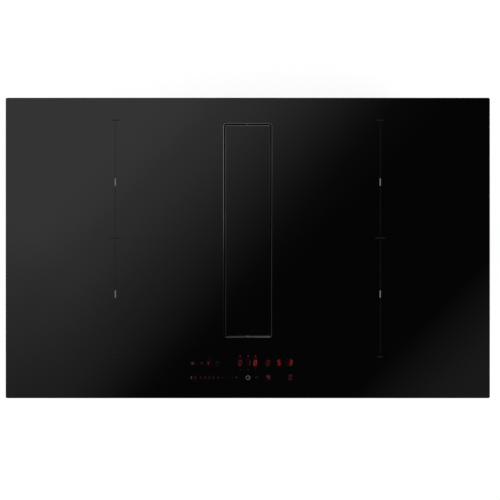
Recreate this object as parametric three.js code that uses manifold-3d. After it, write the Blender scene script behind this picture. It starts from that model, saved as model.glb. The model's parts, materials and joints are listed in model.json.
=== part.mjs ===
// Downdraft induction cooktop: a flat black glass hob with four heating zones, a tilting glass
// flap over a vent in its middle, a lift-out grease filter and drip tray below the flap, and an
// air box with a centrifugal fan under the induction casing. A flat duct leaves it at the back.
//
// Sizes are in millimetres, +Z is up, +X is to the right and the front is towards -Y.
// The origin is the middle of the glass in plan, at the height of the air box's underside.
import * as THREE from "three";
import { mergeVertices } from "three/addons/utils/BufferGeometryUtils.js";
import Module from "manifold-3d";

const wasm = await Module();
wasm.setup();

// ---------- Driving sizes ----------

const FIT = 0.3; // gap left between two faces that touch
const OVERCUT = 2; // how far a cutting tool runs past the face that it opens

// Glass plate
const GLASS_WIDTH = 830;
const GLASS_DEPTH = 515;
const GLASS_THICKNESS = 4;
const GLASS_CORNER = 3;
const GLASS_BEVEL = 0.5;
const SEAL_INSET = 4; // from the glass's edge to the foam seal
const SEAL_WIDTH = 7;
const SEAL_THICKNESS = 2;

// Vent opening in the glass
const VENT_WIDTH = 81;
const VENT_CORNER = 4;
const VENT_BEVEL = 1.5;
const VENT_FRONT_MARGIN = 104.9; // from the glass's front edge to the vent
const VENT_BACK_MARGIN = 45;

// Flap
const FLAP_GAP = 1.8; // all round, between flap and vent
const FLAP_BEVEL = 1.3;
const FLAP_CORNER = 2.6;
const BACKPLATE_INSET = 8; // from the flap glass's long edge to the backplate's
const BACKPLATE_THICKNESS = 2.5;
const SPINE_WIDTH = 10;
const PIN_RADIUS = 1.5;
const PIN_GRIP = 14; // length of a pin that is held in the backplate
const PIN_TIP_ROOM = 0.6; // from a pin's tip to the vent's end
const BEARING_RADIUS = 4.3;
const BEARING_LENGTH = 8; // along the pin
const BEARING_INSET = 7; // from the vent's end to the bearing
const BEARING_FOOT_WIDTH = 30;
const BEARING_FOOT_HEIGHT = 5;
const PIN_CLEARANCE = 0.25; // radial, in the bearing

// Collar that lines the vent, down to the air box
const COLLAR_CLEARANCE = 1; // behind the vent's edge, all round
const COLLAR_WALL = 2;
const COLLAR_FLANGE = 12;
const COLLAR_REACH = 7; // below the casing's floor
const LEDGE_WIDTH = 3.2;
const LEDGE_THICKNESS = 2.5;

// Grease filter
const FILTER_RIM_ROOM = 1; // from the rim to the vent's edge
const FILTER_RIM_THICKNESS = 3;
const FILTER_ROOM = 1; // from the body to the ledge's opening
const FILTER_DEPTH = 74; // below the rim
const FILTER_WALL = 2;
const FILTER_END_LENGTH = 13; // solid end blocks that carry the flap's bearings
const FILTER_END_RISE = 12; // above the rim
const FILTER_WINDOWS = 4; // openings in each side wall
const FILTER_MULLION = 6;
const FILTER_RAIL = 8; // wall left above and below a window
const DRAIN_WIDTH = 8; // slots in the basket's floor
const DRAIN_LENGTH = 50;
const MESH_THICKNESS = 6;
const HANDLE_WIDTH = 16;
const HANDLE_THICKNESS = 3;
const HANDLE_RISE = 13; // from the rim to the top of the handle

// Drip tray
const DRIP_ROOM = 2.8; // smaller than the ledge's opening, on each side
const DRIP_HEIGHT = 20;
const DRIP_WALL = 1.5;
const DRIP_RIB_HEIGHT = 8; // ribs on the air box's floor that locate the tray

// Air box
const AIRBOX_HEIGHT = 149.7;
const AIRBOX_SPLIT = 44; // height of the joint between base and cover
const AIRBOX_WALL = 3;
const AIRBOX_FLOOR = 4;
const AIRBOX_CORNER = 8;
const AIRBOX_FLANGE = 7; // screw flange round the joint
const AIRBOX_FLANGE_THICKNESS = 3;
const AIRBOX_FOOT_BAND = 22; // flat band round the underside that it stands on
const AIRBOX_RECESS = 1.5; // depth of the underside inside that band
const PLENUM_LEFT = 108; // room left of the vent
const PLENUM_FRONT = 37; // room in front of the vent
const RIB_THICKNESS = 2;

// Extractor fan
const FAN_X = 165;
const FAN_BACK_ROOM = 211.7; // from the fan's axis to the air box's back
const IMPELLER_RADIUS = 85;
const IMPELLER_HEIGHT = 80;
const BLADE_COUNT = 28;
const BLADE_DEPTH = 13; // radial
const BLADE_THICKNESS = 1.2;
const SHROUD_HEIGHT = 3;
const HUB_RADIUS = 46;
const HUB_WALL = 2;
const HUB_DEPTH = 46;
const BOSS_RADIUS = 9;
const SHAFT_RADIUS = 4;
const MOTOR_ROOM = 3; // between motor and hub
const MOUNT_RADIUS = 62;
const MOUNT_THICKNESS = 5;
const SCROLL_FLOOR_Z = 46;
const SCROLL_WALL = 2.5;
const SCROLL_START = 7; // gap between impeller and scroll at the tongue
const SCROLL_END = 50; // gap between impeller and scroll where the duct begins
const TONGUE_ANGLE = 58; // degrees from +X
const SCROLL_CLEARANCE = 4.5; // between scroll and air box wall
const BELLMOUTH_ROOM = 4; // between bellmouth and the impeller's shroud
const BELLMOUTH_RISE = 7;
const IMPELLER_GAP = 8; // above the scroll's floor
const SCROLL_POST_RADIUS = 6;

// Outlet for a flat duct
const DUCT_WIDTH = 222;
const DUCT_HEIGHT = 89;
const DUCT_WALL = 2;
const SPIGOT_LENGTH = 20;
const SPIGOT_FLANGE = 8;
const SPIGOT_FLANGE_THICKNESS = 3;
const SPIGOT_SETBACK = 2.5; // from the glass's back edge
const DUCT_RISE = 2; // from the scroll's floor to the duct's inner floor

// Induction casing
const CASING_HEIGHT = 63.7;
const CASING_SETBACK = 17; // from the glass's edge
const CASING_CORNER = 4;
const GLASS_RIM_WIDTH = 10; // of the flat frame that the glass is glued to
const SHEET = 1.2;
const SLOT_WIDTH = 3.4;
const SLOT_PITCH = 9;
const WALL_SLOTS = 7; // in each group in the front and back walls
const WALL_SLOT_HEIGHT = 26;
const WALL_SLOT_ROOM = 148; // from the middle of a group of wall slots to the casing's side

// Zones and coils
const UNIT_FRONT_MARGIN = 72.5; // from the glass's front edge to a coil support
const UNIT_BACK_MARGIN = 38.5;
const UNIT_SIDE_MARGIN = 78;
const COIL_WIDTH = 200;
const COIL_SPACING = 8; // between the coils of one side
const COIL_CORNER = 34;
const COIL_THICKNESS = 6;
const COIL_HOLE_WIDTH = 66;
const COIL_HOLE_DEPTH = 50;
const COIL_HOLE_CORNER = 14;
const INSULATION_THICKNESS = 5;
const COIL_BASE_THICKNESS = 1.6;
const FERRITE_HEIGHT = 5;
const FERRITE_WIDTH = 15;
const FERRITE_BARS = 8; // round each coil
const SENSOR_RADIUS = 8;
const SUPPORT_THICKNESS = 1.5;
const SUPPORT_MARGIN = 10; // beyond the coils, at the sides
const SUPPORT_FOOT = 14;
const REAR_LEG_X = 96; // from the unit's middle to the legs at its back
const FRONT_LEG_X = 62; // and at its front, where the cooling fans stand

// Electronics
const STANDOFF = 8; // from the casing's floor to a circuit board
const BOARD_THICKNESS = 1.6;
const BOARD_INNER_X = 90;
const BOARD_EDGE_ROOM = 10; // from the board to the casing's wall
const BOARD_FRONT_ROOM = 101.3; // from the board to the casing's front wall
const BOARD_BACK_ROOM = 89.3;
const BOARD_FOOT_RADIUS = 4;
const BOARD_FOOT_INSET = 10;
const CAPACITOR_WIDTH = 32;
const CAPACITOR_DEPTH = 22;
const CAPACITOR_HEIGHT = 22;
const CAPACITOR_PITCH = 34;
const CAPACITORS = 4;
const CHOKE_RADIUS = 17;
const CHOKE_HEIGHT = 20;
const CHOKE_PITCH = 52;
const RELAY_WIDTH = 20;
const RELAY_DEPTH = 24;
const RELAY_HEIGHT = 16;
const RELAY_PITCH = 30;
const RELAYS = 3;
const DRIVER_WIDTH = 44;
const DRIVER_DEPTH = 60;
const DRIVER_HEIGHT = 12;
const PARTS_MARGIN = 40; // from a row of parts' middle to the board's edge
const HEAT_SINK_WIDTH = 46;
const HEAT_SINK_LENGTH = 170;
const HEAT_SINK_HEIGHT = 20;
const HEAT_SINK_BASE = 4;
const HEAT_SINK_FINS = 7;
const HEAT_SINK_OFFSET = 10; // towards the middle of the hob
const FIN_THICKNESS = 1.4;
const COOLER_SIZE = 80;
const COOLER_HEIGHT = 25;
const COOLER_BORE = 38;
const COOLER_HUB = 15;
const COOLER_BLADES = 5;
const COOLER_EDGE_ROOM = 12; // from the cooling fan to the casing's walls
const COOLER_CAP = 2.5;

// Controls
const TOUCH_X = -9; // middle of the control field
const TOUCH_FRONT_ROOM = 6.3; // from the touch board to the casing's front wall
const TOUCH_WIDTH = 212;
const TOUCH_DEPTH = 58;
const TOUCH_PADS = 12;
const TOUCH_PAD_RADIUS = 3.4;
const TOUCH_PAD_PITCH = 9;
const TOUCH_PAD_INSET = 14; // from the board's end to the first pad
const TOUCH_PAD_ROW = 9; // from the board's front edge
const DISPLAY_WIDTH = 110;
const DISPLAY_DEPTH = 40;
const DISPLAY_HEIGHT = 7;
const DISPLAY_INSET = 6; // from the board's end
const CONNECTOR_WIDTH = 12;
const CONNECTOR_DEPTH = 22;
const CONNECTOR_HEIGHT = 5;
const CONNECTOR_INSET = 16;
const CARRIER_THICKNESS = 3;
const CARRIER_BORDER = 3; // beyond the board
const CARRIER_LEG_RADIUS = 4;
const CARRIER_LEG_INSET = 8;

// Mains side
const FILTER_BOARD_SPACING = 10; // from the terminals to the board
const FILTER_BOARD_WIDTH = 150;
const FILTER_BOARD_BACK_ROOM = 12.3; // from the board to the casing's back wall
const FILTER_BOARD_DEPTH = 62;
const FILTER_CHOKE_RADIUS = 18;
const FILTER_CHOKE_X = -40;
const FILTER_CAPACITOR_WIDTH = 16;
const FILTER_CAPACITOR_DEPTH = 34;
const FILTER_CAPACITOR_PITCH = 24;
const FILTER_PARTS_HEIGHT = 20;
const TERMINAL_SIDE_ROOM = 26.8; // from the terminals to the casing's left wall
const TERMINAL_BACK_ROOM = 43.3; // from the terminals to the casing's back wall
const TERMINAL_WAYS = 5;
const TERMINAL_PITCH = 12;
const TERMINAL_DEPTH = 24;
const TERMINAL_HEIGHT = 20;
const TERMINAL_WELL_DEPTH = 11;
const TERMINAL_WALL = 1.5;
const COVER_WIDTH = 100;
const COVER_DEPTH = 62;
const COVER_CORNER = 6;
const COVER_HEIGHT = 6;
const COVER_BEVEL = 1.2;
const GLAND_RADIUS = 9;
const GLAND_NECK_RADIUS = 6.3;
const GLAND_DOME_RADIUS = 7.2;
const GLAND_BORE = 5;
const GLAND_LENGTH = 13; // outside the casing
const GLAND_NUT_LENGTH = 9;
const GLAND_INSIDE = 8; // inside the casing
const LOCKNUT_THICKNESS = 5.7;
const GLAND_HEIGHT = 30; // of its axis, above the casing's floor

// Worktop clamps
const CLAMP_END_ROOM = 90.5; // from a clamp's middle to the casing's front or back
const CLAMP_WIDTH = 26;
const CLAMP_SHEET = 1.5;
const CLAMP_LENGTH = 44;
const CLAMP_TOE = 13;
const WORKTOP_THICKNESS = 40;
const CLAMP_SLOT = 5.6;
const CLAMP_SLOT_LENGTH = 34;
const CLAMP_SCREW_Z = 8; // above the casing's floor
const SCREW_RADIUS = 2.4;
const SCREW_HEAD_RADIUS = 5;
const SCREW_HEAD_HEIGHT = 3;
const SCREW_REACH = 8; // inside the casing's wall

// ---------- Levels and places worked out from them ----------

const casingBottom = AIRBOX_HEIGHT + FIT;
const casingFloor = casingBottom + SHEET;
const casingTop = casingBottom + CASING_HEIGHT;
const glassBottom = casingTop + FIT;
const glassTop = glassBottom + GLASS_THICKNESS;
const sealBottom = casingTop - SEAL_THICKNESS;

const casingWidth = GLASS_WIDTH - 2 * CASING_SETBACK;
const casingDepth = GLASS_DEPTH - 2 * CASING_SETBACK;
const casingInnerX = casingWidth / 2 - SHEET;
const casingInnerY = casingDepth / 2 - SHEET;

const ventLength = GLASS_DEPTH - VENT_FRONT_MARGIN - VENT_BACK_MARGIN;
const ventY = (VENT_FRONT_MARGIN - VENT_BACK_MARGIN) / 2;
const flapWidth = VENT_WIDTH - 2 * FLAP_GAP;
const flapLength = ventLength - 2 * FLAP_GAP;
const pivotZ = glassBottom - 2 * FIT - BEARING_RADIUS;
const bearingOuter = ventLength / 2 - BEARING_INSET; // from the vent's middle
const bearingInner = bearingOuter - BEARING_LENGTH;

const collarInnerWidth = VENT_WIDTH + 2 * COLLAR_CLEARANCE;
const collarInnerLength = ventLength + 2 * COLLAR_CLEARANCE;
const collarInnerCorner = VENT_CORNER + COLLAR_CLEARANCE;
const collarOuterWidth = collarInnerWidth + 2 * COLLAR_WALL;
const collarOuterLength = collarInnerLength + 2 * COLLAR_WALL;
const collarOuterCorner = collarInnerCorner + COLLAR_WALL;
const collarBottom = casingBottom - COLLAR_REACH;
const ledgeTop = collarBottom + LEDGE_THICKNESS;
const ledgeWidth = collarInnerWidth - 2 * LEDGE_WIDTH;
const ledgeLength = collarInnerLength - 2 * LEDGE_WIDTH;

const rimBottom = ledgeTop + FIT;
const rimTop = rimBottom + FILTER_RIM_THICKNESS;
const filterBottom = rimBottom - FILTER_DEPTH;
const filterWidth = ledgeWidth - 2 * FILTER_ROOM;
const filterLength = ledgeLength - 2 * FILTER_ROOM;
const filterInnerWidth = filterWidth - 2 * FILTER_WALL;
const filterInnerLength = filterLength - 2 * FILTER_END_LENGTH;
const filterFloor = filterBottom + FILTER_WALL;

const ductInnerWidth = DUCT_WIDTH - 2 * DUCT_WALL;
const ductInnerHeight = DUCT_HEIGHT - 2 * DUCT_WALL;
const scrollEndRadius = IMPELLER_RADIUS + SCROLL_END;
const ductRight = FAN_X + scrollEndRadius; // inner right wall of the outlet channel
const ductX = ductRight - ductInnerWidth / 2;
const airboxLeft = -VENT_WIDTH / 2 - PLENUM_LEFT;
const airboxRight = ductRight + SCROLL_WALL + SCROLL_CLEARANCE + AIRBOX_WALL;
const airboxFront = ventY - ventLength / 2 - PLENUM_FRONT;
const airboxBack = GLASS_DEPTH / 2 - SPIGOT_SETBACK - SPIGOT_LENGTH - SPIGOT_FLANGE_THICKNESS - FIT;
const fanY = airboxBack - FAN_BACK_ROOM;
const airboxX = (airboxLeft + airboxRight) / 2;
const airboxY = (airboxFront + airboxBack) / 2;
const airboxWidth = airboxRight - airboxLeft;
const airboxDepth = airboxBack - airboxFront;
const coverRoof = AIRBOX_HEIGHT - AIRBOX_WALL; // underside of the cover's top
const coverBottom = AIRBOX_SPLIT + FIT;

const scrollFloorTop = SCROLL_FLOOR_Z + SCROLL_WALL;
const scrollTop = coverRoof - FIT;
const scrollBack = airboxBack - AIRBOX_WALL - FIT;
const ductFloor = scrollFloorTop + DUCT_RISE;
const ductZ = ductFloor + ductInnerHeight / 2;
const impellerBottom = scrollFloorTop + IMPELLER_GAP;
const impellerTop = impellerBottom + IMPELLER_HEIGHT;
const hubFloor = impellerTop - HUB_DEPTH;
const mountBottom = coverRoof - FIT - MOUNT_THICKNESS;
const motorRadius = HUB_RADIUS - HUB_WALL - MOTOR_ROOM;
const motorTop = mountBottom - FIT;
const motorBottom = hubFloor + HUB_WALL + 2 * MOTOR_ROOM;

const insulationTop = glassBottom - FIT;
const insulationBottom = insulationTop - INSULATION_THICKNESS;
const coilTop = insulationBottom - FIT;
const coilBottom = coilTop - COIL_THICKNESS;
const coilBaseTop = coilBottom - FIT;
const coilBaseBottom = coilBaseTop - COIL_BASE_THICKNESS - FERRITE_HEIGHT;
const supportTop = coilBaseBottom - FIT;
const supportBottom = supportTop - SUPPORT_THICKNESS;
const supportWidth = COIL_WIDTH + 2 * SUPPORT_MARGIN;
const supportLength = GLASS_DEPTH - UNIT_FRONT_MARGIN - UNIT_BACK_MARGIN;
const unitX = GLASS_WIDTH / 2 - UNIT_SIDE_MARGIN - supportWidth / 2;
const unitY = (UNIT_FRONT_MARGIN - UNIT_BACK_MARGIN) / 2;
const coilDepth = (supportLength - 2 * SUPPORT_FOOT - COIL_SPACING) / 2;
const zonePitch = coilDepth + COIL_SPACING;

const boardBottom = casingFloor + FIT + STANDOFF;
const boardTop = boardBottom + BOARD_THICKNESS;
const boardWidth = casingInnerX - BOARD_EDGE_ROOM - BOARD_INNER_X;
const boardX = BOARD_INNER_X + boardWidth / 2;
const boardY = (BOARD_FRONT_ROOM - BOARD_BACK_ROOM) / 2;
const boardDepth = 2 * casingInnerY - BOARD_FRONT_ROOM - BOARD_BACK_ROOM;
const coolerX = casingInnerX - COOLER_EDGE_ROOM - COOLER_SIZE / 2;
const coolerY = -casingInnerY + COOLER_EDGE_ROOM + COOLER_SIZE / 2;
const touchY = -casingInnerY + TOUCH_FRONT_ROOM + TOUCH_DEPTH / 2;
const filterBoardY = casingInnerY - FILTER_BOARD_BACK_ROOM - FILTER_BOARD_DEPTH / 2;
const terminalLength = TERMINAL_WAYS * TERMINAL_PITCH;
const terminalX = -casingInnerX + TERMINAL_SIDE_ROOM + terminalLength / 2;
const terminalY = casingInnerY - TERMINAL_BACK_ROOM - TERMINAL_DEPTH / 2;
const filterBoardX = terminalX + (terminalLength + FILTER_BOARD_WIDTH) / 2 + FILTER_BOARD_SPACING;
const wallSlotX = casingWidth / 2 - WALL_SLOT_ROOM;
const glandZ = casingFloor + GLAND_HEIGHT;
const clampY = casingDepth / 2 - CLAMP_END_ROOM;
const clampTop = sealBottom - WORKTOP_THICKNESS;
const clampScrewZ = casingFloor + CLAMP_SCREW_Z;

// ---------- Shapes ----------

// A geometry as a closed solid that can be joined and cut.
function solid(geometry) {
  const bare = new THREE.BufferGeometry();
  bare.setAttribute("position", geometry.getAttribute("position"));
  bare.setIndex(geometry.index);
  const merged = mergeVertices(bare, 1e-4);
  const vertProperties = new Float32Array(merged.getAttribute("position").array);
  const triVerts = new Uint32Array(merged.index.array);
  return new wasm.Manifold(new wasm.Mesh({ numProp: 3, vertProperties, triVerts }));
}

function geometryOf(manifold) {
  const { vertProperties, triVerts } = manifold.getMesh();
  const geometry = new THREE.BufferGeometry();
  geometry.setAttribute("position", new THREE.BufferAttribute(vertProperties, 3));
  geometry.setIndex(new THREE.BufferAttribute(triVerts, 1));
  return geometry;
}

function join(...parts) {
  return geometryOf(parts.map(solid).reduce((whole, part) => whole.add(part)));
}

function cut(body, ...tools) {
  return geometryOf(tools.map(solid).reduce((left, tool) => left.subtract(tool), solid(body)));
}

function overlap(a, b) {
  return geometryOf(solid(a).intersect(solid(b)));
}

// A box between two limits on each axis.
function block([x0, x1], [y0, y1], [z0, z1]) {
  const box = new THREE.BoxGeometry(x1 - x0, y1 - y0, z1 - z0);
  return box.translate((x0 + x1) / 2, (y0 + y1) / 2, (z0 + z1) / 2);
}

// A box of a width and depth about a point in plan.
function pad(x, y, width, depth, heights) {
  return block([x - width / 2, x + width / 2], [y - depth / 2, y + depth / 2], heights);
}

function roundedOutline(width, depth, radius, x = 0, y = 0) {
  const right = x + width / 2 - radius;
  const left = x - width / 2 + radius;
  const back = y + depth / 2 - radius;
  const front = y - depth / 2 + radius;
  const outline = new THREE.Shape();
  outline.absarc(right, back, radius, 0, Math.PI / 2);
  outline.absarc(left, back, radius, Math.PI / 2, Math.PI);
  outline.absarc(left, front, radius, Math.PI, 1.5 * Math.PI);
  outline.absarc(right, front, radius, 1.5 * Math.PI, 2 * Math.PI);
  return outline;
}

// An outline raised between two heights, with its edges bevelled inwards at both ends.
function prism(outline, [z0, z1], bevel = 0, curveSegments = 2) {
  const geometry = new THREE.ExtrudeGeometry(outline, {
    depth: z1 - z0 - 2 * bevel,
    curveSegments,
    bevelEnabled: bevel > 0,
    bevelThickness: bevel,
    bevelSize: bevel,
    bevelOffset: -bevel,
    bevelSegments: 1,
  });
  return geometry.translate(0, 0, z0 + bevel);
}

function polygon(points) {
  return new THREE.Shape(points.map(([x, y]) => new THREE.Vector2(x, y)));
}

// A cylinder that stands between two heights.
function rod(radius, [z0, z1], x = 0, y = 0, sides = 24) {
  const cylinder = new THREE.CylinderGeometry(radius, radius, z1 - z0, sides);
  return cylinder.rotateX(Math.PI / 2).translate(x, y, (z0 + z1) / 2);
}

// A cylinder that lies along Y between two places.
function rodAlongY(radius, [y0, y1], x, z, sides = 24) {
  const cylinder = new THREE.CylinderGeometry(radius, radius, y1 - y0, sides);
  return cylinder.translate(x, (y0 + y1) / 2, z);
}

// A cylinder that lies along X between two places.
function rodAlongX(radius, [x0, x1], y, z, sides = 24) {
  const cylinder = new THREE.CylinderGeometry(radius, radius, x1 - x0, sides);
  return cylinder.rotateZ(Math.PI / 2).translate((x0 + x1) / 2, y, z);
}

// A closed profile of [radius, height] points turned about the vertical axis.
function turning(profile, sides = 36) {
  const points = [...profile, profile[0]].map(([r, z]) => new THREE.Vector2(r, z));
  return new THREE.LatheGeometry(points, sides).rotateX(Math.PI / 2);
}

function evenly(count, make) {
  return Array.from({ length: count }, (_, i) => make(i));
}

function piece(name, geometry, material) {
  geometry.computeVertexNormals();
  const mesh = new THREE.Mesh(geometry, material);
  mesh.name = name;
  return mesh;
}

function assembly(...children) {
  const group = new THREE.Group();
  group.add(...children);
  return group;
}

// ---------- Materials ----------

function finish(color, roughness, metalness) {
  return new THREE.MeshStandardMaterial({ color, roughness, metalness });
}

const blackGlass = finish(0x050506, 0.06, 0);
const foam = finish(0x1b1b1c, 0.95, 0);
const galvanised = finish(0xa9adb0, 0.42, 0.9);
const blackPlastic = finish(0x17181a, 0.55, 0);
const greyPlastic = finish(0x3a3c3f, 0.5, 0);
const stainless = finish(0xb9bbbd, 0.3, 1);
const aluminium = finish(0xc4c7c9, 0.38, 1);
const copper = finish(0x9c5a35, 0.45, 0.8);
const mica = finish(0xc9bfa6, 0.9, 0);
const circuitBoard = finish(0x1f5a34, 0.5, 0);
const zincSteel = finish(0xb4b2a8, 0.35, 0.9);

// ---------- Glass ----------

const ventOutline = roundedOutline(VENT_WIDTH, ventLength, VENT_CORNER, 0, ventY);

function glassPlate() {
  const outline = roundedOutline(GLASS_WIDTH, GLASS_DEPTH, GLASS_CORNER);
  const plate = prism(outline, [glassBottom, glassTop], GLASS_BEVEL, 3);
  const vent = prism(ventOutline, [glassBottom - OVERCUT, glassTop + OVERCUT]);
  const flaredOutline = roundedOutline(
    VENT_WIDTH + 2 * VENT_BEVEL,
    ventLength + 2 * VENT_BEVEL,
    VENT_CORNER + VENT_BEVEL,
    0,
    ventY,
  );
  const flare = prism(flaredOutline, [glassTop - VENT_BEVEL, glassTop + 2 * VENT_BEVEL], VENT_BEVEL);
  return piece("glass_top", cut(plate, vent, flare), blackGlass);
}

function worktopSeal() {
  const width = GLASS_WIDTH - 2 * SEAL_INSET;
  const depth = GLASS_DEPTH - 2 * SEAL_INSET;
  const ring = block([-width / 2, width / 2], [-depth / 2, depth / 2], [sealBottom, casingTop]);
  const inside = pad(0, 0, width - 2 * SEAL_WIDTH, depth - 2 * SEAL_WIDTH, [
    sealBottom - OVERCUT,
    casingTop + OVERCUT,
  ]);
  return piece("worktop_seal", cut(ring, inside), foam);
}

// ---------- Flap: a glass strip on a backplate, turning on two pins ----------

function flapGlass() {
  const outline = roundedOutline(flapWidth, flapLength, FLAP_CORNER, 0, ventY);
  const strip = prism(outline, [glassBottom, glassTop], FLAP_BEVEL);
  return piece("flap_glass", strip, blackGlass);
}

function flapBackplate() {
  const width = flapWidth - 2 * BACKPLATE_INSET;
  const length = 2 * (bearingInner - FIT);
  const top = glassBottom - FIT;
  const plateLevels = [top - BACKPLATE_THICKNESS, top];
  const plate = prism(roundedOutline(width, length, SPINE_WIDTH / 2, 0, ventY), plateLevels);
  const spine = pad(0, ventY, SPINE_WIDTH, length, [pivotZ - SPINE_WIDTH / 2, top]);
  const sockets = [-1, 1].map((end) => {
    const outer = ventY + end * (bearingInner + OVERCUT);
    const inner = ventY + end * (bearingInner - FIT - PIN_GRIP);
    return rodAlongY(PIN_RADIUS + FIT, [Math.min(inner, outer), Math.max(inner, outer)], 0, pivotZ, 12);
  });
  return piece("flap_backplate", cut(join(plate, spine), ...sockets), blackPlastic);
}

// The pins run from the backplate, through the bearings, into the gap at the vent's two ends.
function flapPin(name, end) {
  const inner = ventY + end * (bearingInner - PIN_GRIP);
  const tip = ventY + end * (ventLength / 2 - PIN_TIP_ROOM);
  const pin = rodAlongY(PIN_RADIUS, [Math.min(inner, tip), Math.max(inner, tip)], 0, pivotZ, 12);
  return piece(name, pin, stainless);
}

// A post with a round head that the flap turns on. Its foot stands on the filter's end block.
function flapBearing(name, end) {
  const [a, b] = [ventY + end * bearingInner, ventY + end * bearingOuter];
  const along = [Math.min(a, b), Math.max(a, b)];
  const footBottom = rimTop + FILTER_END_RISE + FIT;
  const halfFoot = BEARING_FOOT_WIDTH / 2;
  const foot = block([-halfFoot, halfFoot], along, [footBottom, footBottom + BEARING_FOOT_HEIGHT]);
  const post = block([-BEARING_RADIUS, BEARING_RADIUS], along, [footBottom, pivotZ]);
  const head = rodAlongY(BEARING_RADIUS, along, 0, pivotZ);
  const bore = rodAlongY(PIN_RADIUS + PIN_CLEARANCE, [along[0] - OVERCUT, along[1] + OVERCUT], 0, pivotZ, 12);
  return piece(name, cut(join(foot, post, head), bore), greyPlastic);
}

// ---------- Inlet collar, grease filter and drip tray ----------

function inletCollar() {
  const tubeOutline = roundedOutline(collarOuterWidth, collarOuterLength, collarOuterCorner, 0, ventY);
  const flangeOutline = roundedOutline(
    collarOuterWidth + 2 * COLLAR_FLANGE,
    collarOuterLength + 2 * COLLAR_FLANGE,
    collarOuterCorner + COLLAR_FLANGE,
    0,
    ventY,
  );
  const boreOutline = roundedOutline(collarInnerWidth, collarInnerLength, collarInnerCorner, 0, ventY);
  const tube = prism(tubeOutline, [collarBottom, casingTop]);
  const flange = prism(flangeOutline, [casingTop - COLLAR_WALL, casingTop]);
  const bore = prism(boreOutline, [ledgeTop, casingTop + OVERCUT]);
  const throat = pad(0, ventY, ledgeWidth, ledgeLength, [collarBottom - OVERCUT, ledgeTop + OVERCUT]);
  return piece("inlet_collar", cut(join(tube, flange), bore, throat), blackPlastic);
}

function filterFrame() {
  const rimWidth = VENT_WIDTH - 2 * FILTER_RIM_ROOM;
  const rimLength = ventLength - 2 * FILTER_RIM_ROOM;
  const rim = prism(roundedOutline(rimWidth, rimLength, VENT_CORNER, 0, ventY), [rimBottom, rimTop]);
  const body = pad(0, ventY, filterWidth, filterLength, [filterBottom, rimTop]);
  const endMiddle = filterLength / 2 - FILTER_END_LENGTH / 2;
  const ends = [-1, 1].map((end) => {
    const levels = [rimBottom, rimTop + FILTER_END_RISE];
    return pad(0, ventY + end * endMiddle, filterInnerWidth, FILTER_END_LENGTH, levels);
  });
  const inside = pad(0, ventY, filterInnerWidth, filterInnerLength, [
    filterFloor,
    rimTop + FILTER_END_RISE + OVERCUT,
  ]);
  const endPockets = pad(0, ventY, filterInnerWidth, filterLength - 2 * FILTER_WALL, [
    filterFloor,
    rimBottom - FILTER_RAIL,
  ]);
  const windowPitch = filterInnerLength / FILTER_WINDOWS;
  const drains = evenly(FILTER_WINDOWS, (i) => {
    const y = ventY - filterInnerLength / 2 + windowPitch * (i + 0.5);
    return pad(0, y, DRAIN_WIDTH, DRAIN_LENGTH, [filterBottom - OVERCUT, filterFloor + OVERCUT]);
  });
  const windows = evenly(FILTER_WINDOWS, (i) => {
    const y = ventY - filterInnerLength / 2 + windowPitch * (i + 0.5);
    const levels = [filterFloor + FILTER_RAIL, rimBottom - FILTER_RAIL];
    return pad(0, y, filterWidth + 2 * OVERCUT, windowPitch - FILTER_MULLION, levels);
  });
  const basket = cut(join(rim, body, ...ends), inside, endPockets, ...windows, ...drains);
  return piece("filter_frame", basket, blackPlastic);
}

// A pack of expanded metal behind the windows of one side wall.
function filterMesh(name, side) {
  const outer = side * (filterInnerWidth / 2 - FIT);
  const inner = side * (filterInnerWidth / 2 - FIT - MESH_THICKNESS);
  const halfLength = filterInnerLength / 2 - FIT;
  const pack = block(
    [Math.min(inner, outer), Math.max(inner, outer)],
    [ventY - halfLength, ventY + halfLength],
    [filterFloor + FIT, rimTop - FILTER_RIM_THICKNESS / 2],
  );
  return piece(name, pack, aluminium);
}

// A bridge across the filter's rim to lift it by.
function filterHandle() {
  const outer = VENT_WIDTH / 2 - FILTER_RIM_ROOM - FIT;
  const inner = filterInnerWidth / 2 - MESH_THICKNESS;
  const bottom = rimTop + FIT;
  const top = rimTop + HANDLE_RISE;
  const arch = [
    [-outer, bottom],
    [-inner, bottom],
    [-inner + HANDLE_THICKNESS, top - HANDLE_THICKNESS],
    [inner - HANDLE_THICKNESS, top - HANDLE_THICKNESS],
    [inner, bottom],
    [outer, bottom],
    [outer, bottom + HANDLE_THICKNESS],
    [inner + HANDLE_THICKNESS / 2, bottom + HANDLE_THICKNESS],
    [inner - HANDLE_THICKNESS / 2, top],
    [-inner + HANDLE_THICKNESS / 2, top],
    [-inner - HANDLE_THICKNESS / 2, bottom + HANDLE_THICKNESS],
    [-outer, bottom + HANDLE_THICKNESS],
  ];
  const strap = prism(polygon(arch), [-HANDLE_WIDTH / 2, HANDLE_WIDTH / 2]);
  return piece("filter_handle", strap.rotateX(Math.PI / 2).translate(0, ventY, 0), greyPlastic);
}

function dripTray() {
  const width = ledgeWidth - 2 * DRIP_ROOM;
  const length = ledgeLength - 2 * DRIP_ROOM;
  const bottom = AIRBOX_FLOOR + FIT;
  const top = bottom + DRIP_HEIGHT;
  const shell = prism(roundedOutline(width, length, 6, 0, ventY), [bottom, top]);
  const innerOutline = roundedOutline(width - 2 * DRIP_WALL, length - 2 * DRIP_WALL, 5, 0, ventY);
  const hollow = prism(innerOutline, [bottom + DRIP_WALL, top + OVERCUT]);
  return piece("drip_tray", cut(shell, hollow), stainless);
}

// ---------- Air box ----------

function airboxOutline(grow = 0) {
  const corner = Math.max(AIRBOX_CORNER + grow, 1);
  return roundedOutline(airboxWidth + 2 * grow, airboxDepth + 2 * grow, corner, airboxX, airboxY);
}

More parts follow.
